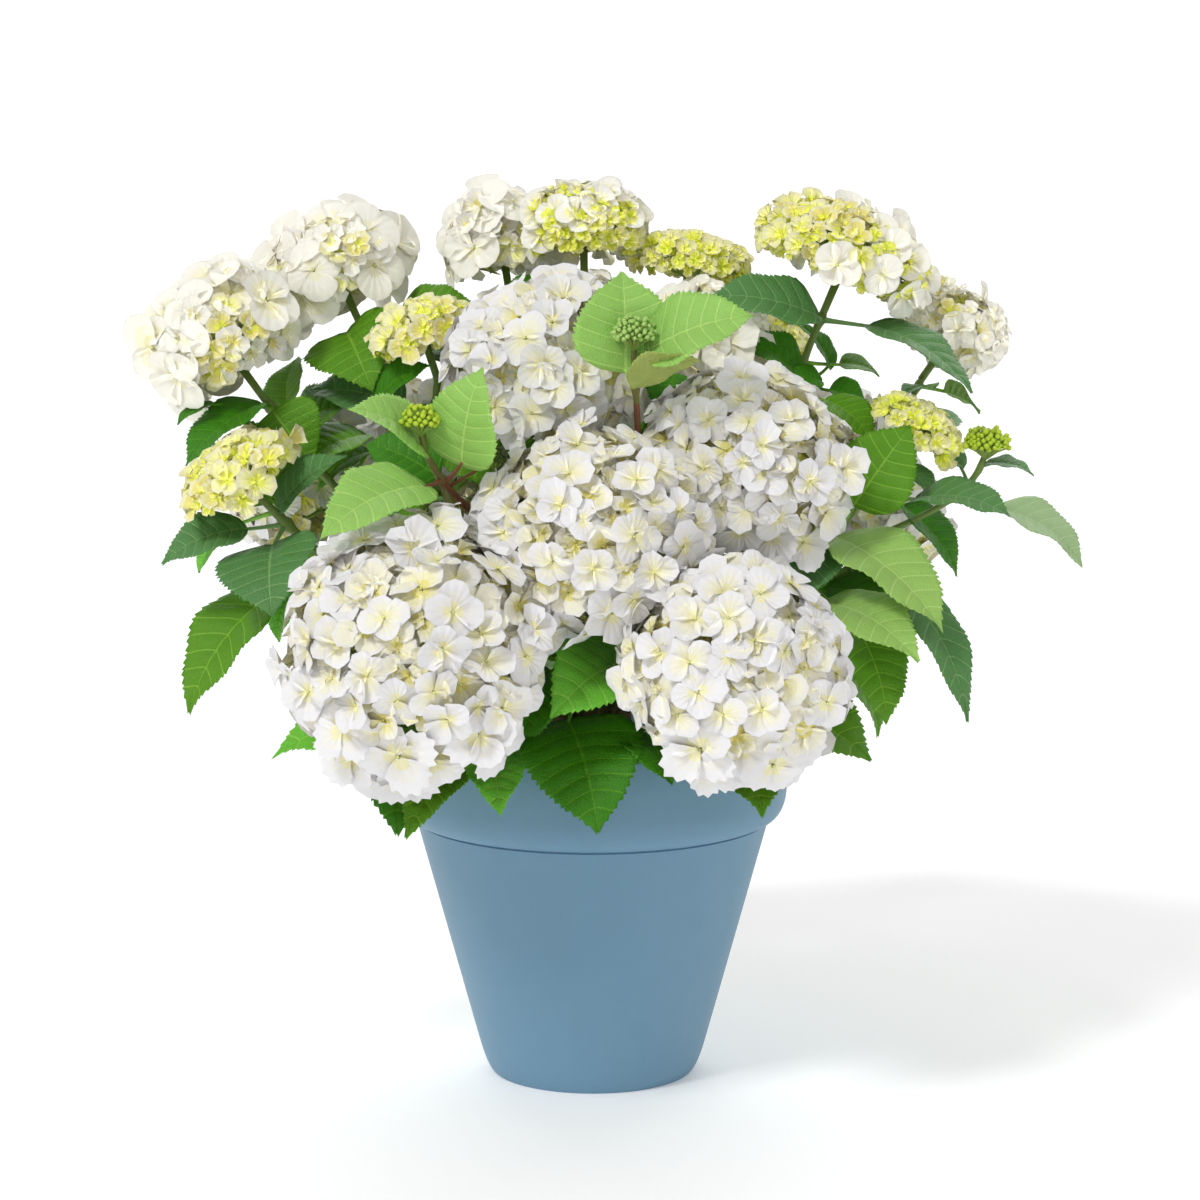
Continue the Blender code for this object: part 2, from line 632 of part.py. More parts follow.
def plan_shoot(shoot):
    """Lay out the centre lines of a cane and its shoot."""
    along = direction(*shoot.collar)
    collar_end = STUMP_CENTRE + along * COLLAR_REACH
    tip = Vector(shoot.cane_tip)
    own = [head for head in HEADS if head.shoot == shoot.name]
    main = next(head for head in own if head.fork == 0.0)
    goal = head_joint(main)
    onward = ((goal - tip).normalized() + Vector((0.0, 0.0, CANE_RISE))).normalized()
    cane = joint_run(smooth_path([collar_end + along * GAP, tip], along, onward), along, onward)
    foot = tip + onward * GAP
    stem = joint_run(smooth_path([foot, goal], onward, head_axis(main)), onward, head_axis(main))
    stems = [stem]
    for head in own:
        if head.fork > 0.0:
            stems.append(twig_path(stem, head.fork, head.bend, head_joint(head), head_axis(head)))
    for bud in BUDS:
        if bud.shoot == shoot.name:
            stems.append(twig_path(stem, bud.fork, bud.bend, Vector(bud.centre), BUD_FACING.normalized()))
    return Frame(shoot, cane, stems)


def twig_path(stem, fork, bend, goal, into):
    """Return a twig that leaves a stem at a share of its points and arrives at a goal."""
    index = max(1, round(fork * (len(stem) - 1)))
    root = stem[index]
    along = (stem[index] - stem[index - 1]).normalized()
    points = [root] + ([Vector(bend)] if bend else []) + [goal]
    leave = (along + (points[1] - root).normalized()).normalized()
    return joint_run(smooth_path(points, leave, into), None, into)


# ---------------------------------------------------------------------------
# Leaves
# ---------------------------------------------------------------------------
def leaf_facing(base, tip):
    """Return the way a leaf's upper face looks: up, and away from the middle of the plant."""
    middle = (base + tip) / 2.0
    pull, back, front = LEAF_HEART
    heart = Vector((middle.x * pull, back if middle.y < 0.06 else front, middle.z))
    outward = (middle - heart).normalized()
    return (Vector((0.0, 0.0, LEAF_FACING[0])) + outward * LEAF_FACING[1]).normalized()


def leaf_meshes(root, base, tip, width):
    """Return a leaf's three-sided stalk, and its blade: folded, diamond in section, pointed."""
    base, tip = Vector(base), Vector(tip)
    chord = tip - base
    along = chord.normalized()
    side = along.cross(leaf_facing(base, tip)).normalized()
    face = side.cross(along).normalized()
    stalk = (base - root).normalized()
    rod = rod_mesh(root, base + stalk * PETIOLE_RADIUS, (PETIOLE_RADIUS, PETIOLE_RADIUS), 3)
    work = bmesh.new()

    def section(share, half):
        middle = base + chord * share + face * (LEAF_BOW * chord.length * 4.0 * share * (1.0 - share))
        raised = face * (LEAF_FOLD * half)
        thick = face * (LEAF_THICKNESS / 2.0)
        corners = (middle - side * half + raised, middle + thick, middle + side * half + raised,
                   middle - thick)
        return [work.verts.new(corner) for corner in corners]

    foot = work.verts.new(base)
    wide, narrow = (section(share, width / 2.0 * part) for share, part in LEAF_SECTIONS)
    point = work.verts.new(tip)
    for one, two in ((0, 1), (1, 2), (2, 3), (3, 0)):
        work.faces.new((foot, wide[two], wide[one]))
        work.faces.new((wide[one], wide[two], narrow[two], narrow[one]))
        work.faces.new((narrow[one], narrow[two], point))
    bmesh.ops.triangulate(work, faces=work.faces)
    bmesh.ops.recalc_face_normals(work, faces=work.faces)
    return rod, mesh_from(work, "blade")


def nearest_root(frame, base, tip):
    """Return the point on a shoot's stems from which a leaf's stalk best reaches its base."""
    base, tip = Vector(base), Vector(tip)
    aim = base - (tip - base) * ROOT_BACK - Vector((0.0, 0.0, ROOT_DROP))
    best, root = 1.0, None
    for stem in frame.stems:
        for before, after in zip(stem[1:-2], stem[2:-1]):
            for share in (0.1, 0.4, 0.7, 1.0):
                point = before.lerp(after, share)
                if (point - aim).length < best:
                    best, root = (point - aim).length, point
    return root


def rule_leaves(frame, draw):
    """Yield leaves in opposite pairs along a shoot's twigs, each pair a quarter turn on."""
    shoot = frame.shoot
    flowering = sum(head.shoot == shoot.name for head in HEADS)
    for stem in frame.stems[:flowering]:
        turn = draw.uniform(0.0, math.pi)
        for pair in range(shoot.pairs):
            place = (pair + 0.6) / shoot.pairs * (len(stem) - 2)
            index = min(int(place), len(stem) - 2)
            root = stem[index].lerp(stem[index + 1], place - index)
            along = (stem[index + 1] - stem[index]).normalized()
            across = along.orthogonal().normalized()
            across.rotate(Matrix.Rotation(turn + pair * math.pi / 2.0, 3, along))
            for sign in (-1.0, 1.0):
                reach = across * sign
                stalk = (reach + along * 0.7).normalized() * draw.uniform(*RULE_STALK)
                length = shoot.leaf * draw.uniform(*RULE_SPREAD)
                droop = Vector((0.0, 0.0, draw.uniform(*RULE_DROOP)))
                base = root + stalk
                tip = base + (reach + along * 0.25 + droop).normalized() * length
                yield root, base, tip, length * draw.uniform(*RULE_WIDTH)


# ---------------------------------------------------------------------------
# Flower heads and buds
# ---------------------------------------------------------------------------
def core_mesh(centre, axis, radius, height, detail=2):
    """A faceted core, flattened along its axis."""
    work = bmesh.new()
    bmesh.ops.create_icosphere(work, subdivisions=detail, radius=1.0)
    turn = axis.to_track_quat("Z", "Y").to_matrix().to_4x4()
    place = Matrix.Translation(centre) @ turn @ Matrix.Diagonal((radius, radius, height, 1.0))
    bmesh.ops.transform(work, matrix=place, verts=work.verts)
    return mesh_from(work, "core")


def floret_sites(head, draw):
    """Yield the middle, outward normal and turn of each floret, evenly over the head."""
    axis = head_axis(head)
    turn = axis.to_track_quat("Z", "Y")
    low = math.cos(FLORET_LIMIT)
    area = 2.0 * math.pi * head.radius * (head.radius + 2.0 * head.height) / 3.0 * (1.0 - low)
    count = round(FLORET_COVER * area / (head.floret ** 2 / 2.0))
    for index in range(count):
        polar = math.acos(1.0 - (index + 0.5) / count * (1.0 - low))
        azimuth = index * GOLDEN_ANGLE
        unit = Vector((math.sin(polar) * math.cos(azimuth), math.sin(polar) * math.sin(azimuth),
                       math.cos(polar)))
        place = Vector((unit.x * head.radius, unit.y * head.radius, unit.z * head.height))
        normal = Vector((unit.x / head.radius, unit.y / head.radius, unit.z / head.height)).normalized()
        tilt = Vector([draw.uniform(-FLORET_TILT, FLORET_TILT) for _ in range(3)])
        facing = turn @ (normal + tilt).normalized()
        yield turn @ place, facing, draw.uniform(0.0, math.pi / 2.0)


def floret_mesh(head, place, facing, turn):
    """A four-pointed floret, hollowed a little, on a stalk that narrows into the core."""
    middle = Vector(head.centre) + place * FLORET_SHARE
    foot = Vector(head.centre) + place * (CORE_SHARE * FLORET_FOOT)
    across = facing.orthogonal().normalized()
    across.rotate(Matrix.Rotation(turn, 3, facing))
    frame = Matrix((across, facing.cross(across), facing)).transposed().to_4x4()
    work = bmesh.new()
    bmesh.ops.create_circle(work, cap_ends=True, segments=4, radius=head.floret / 2.0,
                            matrix=Matrix.Translation(middle) @ frame)
    rim = list(work.edges)
    hollow = bmesh.ops.poke(work, faces=list(work.faces))["verts"]
    bmesh.ops.translate(work, verts=hollow, vec=facing * (-FLORET_DEPTH * head.floret))
    drawn = bmesh.ops.extrude_edge_only(work, edges=rim)["geom"]
    corners = [part for part in drawn if isinstance(part, bmesh.types.BMVert)]
    bmesh.ops.pointmerge(work, verts=corners, merge_co=foot)
    bmesh.ops.recalc_face_normals(work, faces=work.faces)
    return mesh_from(work, "floret")


def head_core(head):
    """Return a flower head's core and its stalk."""
    axis = head_axis(head)
    centre = Vector(head.centre)
    detail = 1 if head.radius < SMALL_HEAD else 2
    core = core_mesh(centre, axis, head.radius * CORE_SHARE, head.height * CORE_SHARE, detail)
    joint = head_joint(head) + axis * GAP
    inside = centre - axis * (head.height * STALK_END)
    return core, limb_mesh([joint, joint + axis * STRAIGHT, inside], STALK_RADIUS)


# ---------------------------------------------------------------------------
# Assembly
# ---------------------------------------------------------------------------
def tree_of(mesh, grow=0.0):
    """Return a search tree of a mesh, pushed out along its normals by grow."""
    points = [corner.co + corner.normal * grow for corner in mesh.vertices]
    return BVHTree.FromPolygons(points, [tuple(face.vertices) for face in mesh.polygons])


class Space:
    """What each named piece of the plant takes up, so that the pieces keep clear of each other."""

    def __init__(self):
        self.trees = []
        self.meshes = {}
        self.leaves = {}

    def take(self, owner, mesh):
        """Give a mesh to a piece."""
        self.trees.append((owner, tree_of(mesh)))
        self.meshes.setdefault(owner, []).append(mesh)

    def offer(self, owner, *pieces):
        """Give meshes to a piece unless one of them would touch another piece."""
        grown = [tree_of(mesh, CLEARANCE) for mesh in pieces]
        if any(other != owner and tree.overlap(there) for tree in grown for other, there in self.trees):
            return False
        for mesh in pieces:
            self.take(owner, mesh)
        return True

    def offer_leaf(self, owner, stalk, blade, crossing):
        """Give a leaf to a shoot; unless crossing, it is skipped where it meets the shoot's others."""
        stalk_tree, blade_tree = tree_of(stalk, CLEARANCE), tree_of(blade, CLEARANCE)
        leaves = self.leaves.setdefault(owner, [])
        if not crossing and any(blade_tree.overlap(there) or blade_tree.overlap(stem)
                                or stalk_tree.overlap(there) for stem, there in leaves):
            return False
        if not self.offer(owner, stalk, blade):
            return False
        leaves.append((stalk_tree, blade_tree))
        return True


def lay_out_limbs(space, frames):
    """Give each cane, stem and flower head's core its place."""
    for frame in frames:
        space.take("cane_" + frame.shoot.name, limb_mesh(frame.cane, CANE_RADIUS, 6))
        for points in frame.stems:
            space.take("shoot_" + frame.shoot.name, limb_mesh(points, STEM_RADIUS))
    for bud in BUDS:
        mesh = core_mesh(Vector(bud.centre), Vector((0.0, 0.0, 1.0)), bud.radius, bud.height, 1)
        space.take("shoot_" + bud.shoot, mesh)
    for head in HEADS:
        for mesh in head_core(head):
            space.take("head_" + head.name, mesh)


def ring_leaves():
    """Yield the base, tip and width of the leaves that stand in rings round the sides and back."""
    for first, last, step, base_radius, base_height, tip_radius, tip_height, width in RINGS:
        for azimuth in range(first, last + 1, step):
            outward = direction(azimuth, 0.0)
            side = outward.x ** 2
            base = outward * base_radius + Vector((0.0, 0.0, base_height))
            tip = outward * (tip_radius - SIDE_PULL * side)
            tip.z = tip_height + SIDE_LIFT * side
            yield base, tip, width


def grow(space, frames):
    """Set the leaves that have a place of their own, then the florets, then the rule's leaves."""
    by_name = {frame.shoot.name: frame for frame in frames}
    for leaf in LEAVES:
        root = nearest_root(by_name[leaf.shoot], leaf.base, leaf.tip)
        meshes = leaf_meshes(root, leaf.base, leaf.tip, leaf.width)
        if not space.offer_leaf("shoot_" + leaf.shoot, *meshes, crossing=True):
            print("left out", leaf)
    for base, tip, width in ring_leaves():
        roots = [(nearest_root(frame, base, tip), frame.shoot.name) for frame in frames]
        root, name = min(roots, key=lambda pair: (pair[0] - base).length)
        space.offer_leaf("shoot_" + name, *leaf_meshes(root, base, tip, width), crossing=False)
    for index, head in enumerate(HEADS):
        for place, facing, turn in floret_sites(head, random.Random(SEED + index)):
            space.offer("head_" + head.name, floret_mesh(head, place, facing, turn))
    for index, frame in enumerate(frames):
        for leaf in rule_leaves(frame, random.Random(SEED * 7 + index)):
            space.offer_leaf("shoot_" + frame.shoot.name, *leaf_meshes(*leaf), crossing=False)


def main():
    """Build every piece of the potted plant."""
    clear_scene()
    group = make_collection("hydrangea")
    materials = {name: make_material(name) for name in COLOURS}
    space = Space()
    graph = bpy.context.evaluated_depsgraph_get
    for item in (build_pot(group, materials["pot"]), build_compost(group, materials["compost"]),
                 build_stump(group, materials["bark"])):
        space.trees.append((item.name, tree_of(item.evaluated_get(graph()).to_mesh())))
    frames = [plan_shoot(shoot) for shoot in SHOOTS]
    lay_out_limbs(space, frames)
    grow(space, frames)
    colours = {"head_" + head.name: head.colour for head in HEADS}
    for name, meshes in space.meshes.items():
        if name.startswith("cane_"):
            shade_round(add_object(name, meshes[0], group, materials["bark"]))
        else:
            fuse(name, meshes[0], meshes[1:], group, materials[colours.get(name, "leaf")])


main()
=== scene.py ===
"""The looks of a white mophead hydrangea in its plastic pot.

Metres, +Z up, +Y to the back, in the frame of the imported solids. The limbs, leaves and flower heads
grow by the same rule as the solids do, carried on to single florets, veins and bud grains.
"""

import logging
import math
import random
from collections.abc import Callable
from dataclasses import dataclass, field, replace
from enum import Enum

import bmesh
import bpy
import numpy as np
from mathutils import Matrix, Vector, noise
from mathutils.bvhtree import BVHTree
from mathutils.kdtree import KDTree


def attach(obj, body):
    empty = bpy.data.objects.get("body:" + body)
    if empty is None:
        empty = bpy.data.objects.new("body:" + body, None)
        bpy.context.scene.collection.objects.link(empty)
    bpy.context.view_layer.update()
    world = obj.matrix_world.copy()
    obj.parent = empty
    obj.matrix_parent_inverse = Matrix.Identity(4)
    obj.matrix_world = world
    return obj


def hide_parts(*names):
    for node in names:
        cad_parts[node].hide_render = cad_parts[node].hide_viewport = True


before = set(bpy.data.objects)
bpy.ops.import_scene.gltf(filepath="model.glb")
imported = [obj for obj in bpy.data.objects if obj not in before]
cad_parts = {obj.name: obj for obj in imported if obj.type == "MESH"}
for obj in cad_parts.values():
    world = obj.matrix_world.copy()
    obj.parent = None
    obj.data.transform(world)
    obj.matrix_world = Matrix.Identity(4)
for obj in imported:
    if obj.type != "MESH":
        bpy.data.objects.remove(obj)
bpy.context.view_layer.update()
LOG = logging.getLogger("hydrangea")
UP = Vector((0.0, 0.0, 1.0))
FULL_TURN = 2.0 * math.pi
GOLDEN_TURN = math.pi * (3.0 - math.sqrt(5.0))      # from one grain or ray to the next
TINY = 1e-12

Array = np.ndarray
Shape = tuple[Array, list]          # points, and faces as lists of corners

# ----- Sizes shared with the solids -----
GAP = 0.0003                # between a cane and its shoot
SEED = 11
STUMP_CENTRE = Vector((0.002, 0.003, 0.243))
STUMP_KNOB_RADIUS = 0.024
STUMP_FLARE = ((0.0, 0.026, 0.16), (0.006, 0.021, 0.11), (0.014, 0.017, 0.04))
STUMP_LOBES = 4
COLLAR_REACH = 0.030
COLLAR_RADIUS = 0.0052
COLLAR_SOCKET = 0.012       # how far a cane reaches back into its collar
COMPOST_TOP = 0.205
STILL_EDGE = 0.124          # radius from which the compost lies flat against the pot
LEAN_POINT = Vector((0.0, 0.0, 0.150))
CANE_RADIUS = (0.0044, 0.0037)
STRAIGHT = 0.005            # of each limb's run at a joint
LIMB_STEPS = 3              # of a limb in the solids
FINE_STEPS = 16             # of the same limb here
CANE_RISE = 0.25
BUD_FACING = Vector((0.0, -0.2, 1.0))
LEAF_FOLD = 0.20
LEAF_BOW = 0.10
LEAF_HEART = (0.4, 0.10, -0.05)
LEAF_FACING = (0.75, 0.66)
ROOT_BACK = 0.25
ROOT_DROP = 0.008
ROOT_SHARES = (0.1, 0.4, 0.7, 1.0)
# Rings of leaves: first and last azimuth and step in degrees, then the radius and height of
# the leaves' bases, the radius and height of their tips, and their width
RINGS = (
    (-14, 194, 16, 0.116, 0.262, 0.190, 0.198, 0.062),
    (-10, 190, 25, 0.112, 0.322, 0.186, 0.300, 0.058),
    (152, 204, 26, 0.122, 0.308, 0.176, 0.196, 0.064),
    (-16, 20, 18, 0.112, 0.300, 0.168, 0.198, 0.060),
)
SIDE_PULL = 0.018
SIDE_LIFT = 0.045
RULE_STALK = (0.018, 0.028)
RULE_DROOP = (-0.75, -0.15)
RULE_WIDTH = (0.62, 0.72)
RULE_SPREAD = (0.80, 1.10)
SAME_PLACE = 0.0006         # a solid's corner this near to a leaf's tip is that leaf's own
RED_STALKS = -0.05          # young leaves to the left of this have red stalks


class Flower(Enum):
    """What a flower head is: full and white, round, cream with a green heart, or all small cups."""

    BROAD = "broad"
    BROAD_FINE = "broad_fine"
    BROAD_SMALL = "broad_small"
    MELLOW = "mellow"
    ROUND = "round"
    ROUND_FINE = "round_fine"
    INNER = "inner"
    PALE = "pale"
    LOW = "low"
    CUPS = "cups"
    CREST = "crest"
    RIMMED = "rimmed"
    RIMMED_SMALL = "rimmed_small"


class Tint(Enum):
    """The greens that leaves come in."""

    DEEP = "deep"
    MID = "mid"
    BLUE = "blue"
    PALE = "pale"
    YOUNG = "young"
    BRIGHT = "bright"
    MIST = "mist"
    OLIVE = "olive"


@dataclass(frozen=True)
class Shoot:
    """A cane and the leafy shoot that carries on from its tip."""

    name: str
    cane_tip: tuple
    collar: tuple                   # azimuth and elevation of its foot on the stump, degrees
    pairs: int                      # of leaves on each of its stems
    leaf: float                     # length of those leaves


@dataclass(frozen=True)
class Head:
    """A flower head: its place on a shoot, its size, and the kind of florets that it carries."""

    name: str
    shoot: str
    centre: tuple
    radius: float
    height: float
    flower: Flower
    fork: float = 0.0               # where its twig leaves the stem, share of the stem
    stalk: float = 0.005
    bend: tuple = ()                # a point that its twig passes through


@dataclass(frozen=True)
class Bud:
    """A young bud at the end of a twig: a dome of green grains."""

    shoot: str
    centre: tuple
    radius: float
    height: float
    fork: float
    bend: tuple = ()
    grain: float = 0.0036
    tone: str = "bud_bright"


@dataclass(frozen=True)
class Leaf:
    """A blade from its base to its tip, and its green."""

    shoot: str
    base: tuple
    tip: tuple
    width: float
    tint: Tint
    facing: tuple = ()              # the way its upper face looks, where the rule doesn't say


# The rule's own tables: where the canes, heads, buds and leaves of the solids stand
SHOOTS = (
    Shoot("front_left", (-0.042, -0.062, 0.246), (236, 12), 0, 0.080),
    Shoot("front_right", (0.035, -0.070, 0.242), (297, 12), 0, 0.080),
    Shoot("middle", (0.000, -0.052, 0.292), (268, 44), 0, 0.080),
    Shoot("right", (0.050, -0.034, 0.300), (322, 46), 2, 0.070),
    Shoot("centre", (-0.014, -0.012, 0.325), (225, 72), 2, 0.070),
    Shoot("low_left", (-0.125, -0.030, 0.300), (200, 20), 1, 0.070),
    Shoot("left", (-0.130, 0.008, 0.335), (172, 40), 2, 0.075),
    Shoot("upper_left", (-0.090, 0.030, 0.370), (132, 58), 2, 0.075),
    Shoot("top", (-0.020, 0.036, 0.380), (95, 74), 2, 0.075),
    Shoot("top_right", (0.034, 0.026, 0.370), (40, 66), 2, 0.070),
    Shoot("upper_right", (0.100, 0.012, 0.350), (8, 42), 2, 0.070),
    Shoot("low_right", (0.105, -0.042, 0.288), (336, 18), 1, 0.070),
    Shoot("back_left", (-0.090, 0.070, 0.275), (148, 20), 2, 0.100),
    Shoot("back", (0.000, 0.095, 0.300), (92, 34), 2, 0.100),
    Shoot("back_right", (0.095, 0.070, 0.285), (40, 22), 2, 0.100),
)

HEADS = (
    Head("front_left", "front_left", (-0.110, -0.165, 0.315), 0.086, 0.079, Flower.BROAD),
    Head("front_right", "front_right", (0.087, -0.175, 0.306), 0.073, 0.066, Flower.BROAD),
    Head("middle", "middle", (0.003, -0.135, 0.383), 0.074, 0.066, Flower.MELLOW),
    Head("right", "right", (0.100, -0.075, 0.420), 0.069, 0.062, Flower.BROAD_FINE),
    Head("centre", "centre", (-0.029, -0.040, 0.477), 0.066, 0.058, Flower.MELLOW),
    Head("low_left", "low_left", (-0.228, -0.060, 0.411), 0.040, 0.024, Flower.LOW),
    Head("left", "left", (-0.246, 0.020, 0.491), 0.054, 0.045, Flower.ROUND),
    Head("upper_left", "upper_left", (-0.174, 0.080, 0.534), 0.051, 0.038, Flower.ROUND_FINE),
    Head("small_left", "upper_left", (-0.112, 0.004, 0.497), 0.032, 0.019, Flower.PALE, fork=0.35),
    Head("top_white", "top", (-0.062, 0.090, 0.553), 0.040, 0.035, Flower.ROUND, fork=0.30),
    Head("top", "top", (-0.006, 0.050, 0.562), 0.041, 0.030, Flower.CREST),
    Head("top_right", "top_right", (0.065, 0.060, 0.538), 0.040, 0.018, Flower.CUPS),
    Head("inner", "top_right", (0.078, 0.005, 0.500), 0.034, 0.026, Flower.INNER, fork=0.25),
    Head("upper_right", "upper_right", (0.168, 0.020, 0.545), 0.060, 0.034, Flower.RIMMED),
    Head("far_right", "upper_right", (0.247, 0.095, 0.490), 0.034, 0.030, Flower.RIMMED_SMALL,
         fork=0.15, bend=(0.190, 0.055, 0.405)),
    Head("small_right", "low_right", (0.213, -0.020, 0.436), 0.031, 0.014, Flower.CUPS,
         bend=(0.166, -0.045, 0.348)),
    Head("back_left_low", "back_left", (-0.195, 0.090, 0.385), 0.052, 0.046, Flower.BROAD_SMALL),
    Head("back_left", "back_left", (-0.115, 0.190, 0.385), 0.070, 0.060, Flower.BROAD, fork=0.20),
    Head("back", "back", (0.030, 0.225, 0.410), 0.074, 0.064, Flower.BROAD),
    Head("back_upper", "back", (-0.020, 0.150, 0.490), 0.048, 0.040, Flower.BROAD_SMALL, fork=0.25),
    Head("back_right", "back_right", (0.165, 0.175, 0.380), 0.068, 0.060, Flower.BROAD),
    Head("back_right_low", "back_right", (0.204, 0.082, 0.362), 0.040, 0.035, Flower.BROAD_SMALL,
         fork=0.20),
    Head("back_right_upper", "back_right", (0.105, 0.150, 0.480), 0.044, 0.036, Flower.PALE,
         fork=0.35),
)

BUDS = (
    Bud("centre", (-0.107, -0.145, 0.455), 0.013, 0.011, 0.15, (-0.080, -0.098, 0.395)),
    Bud("centre", (0.026, -0.130, 0.508), 0.015, 0.012, 0.20, (0.026, -0.058, 0.410), 0.0032,
        "bud_pale"),
    Bud("low_right", (0.258, -0.020, 0.426), 0.016, 0.012, 0.45),
)

# Young buds that sit in shade, their grains darkened with painted shade; each has a stalk from the
# nearest stem
SHADED_BUDS = (
    Bud("centre", (-0.061, -0.117, 0.428), 0.0100, 0.0095, 0.0, grain=0.0026, tone="bud_dark"),
)

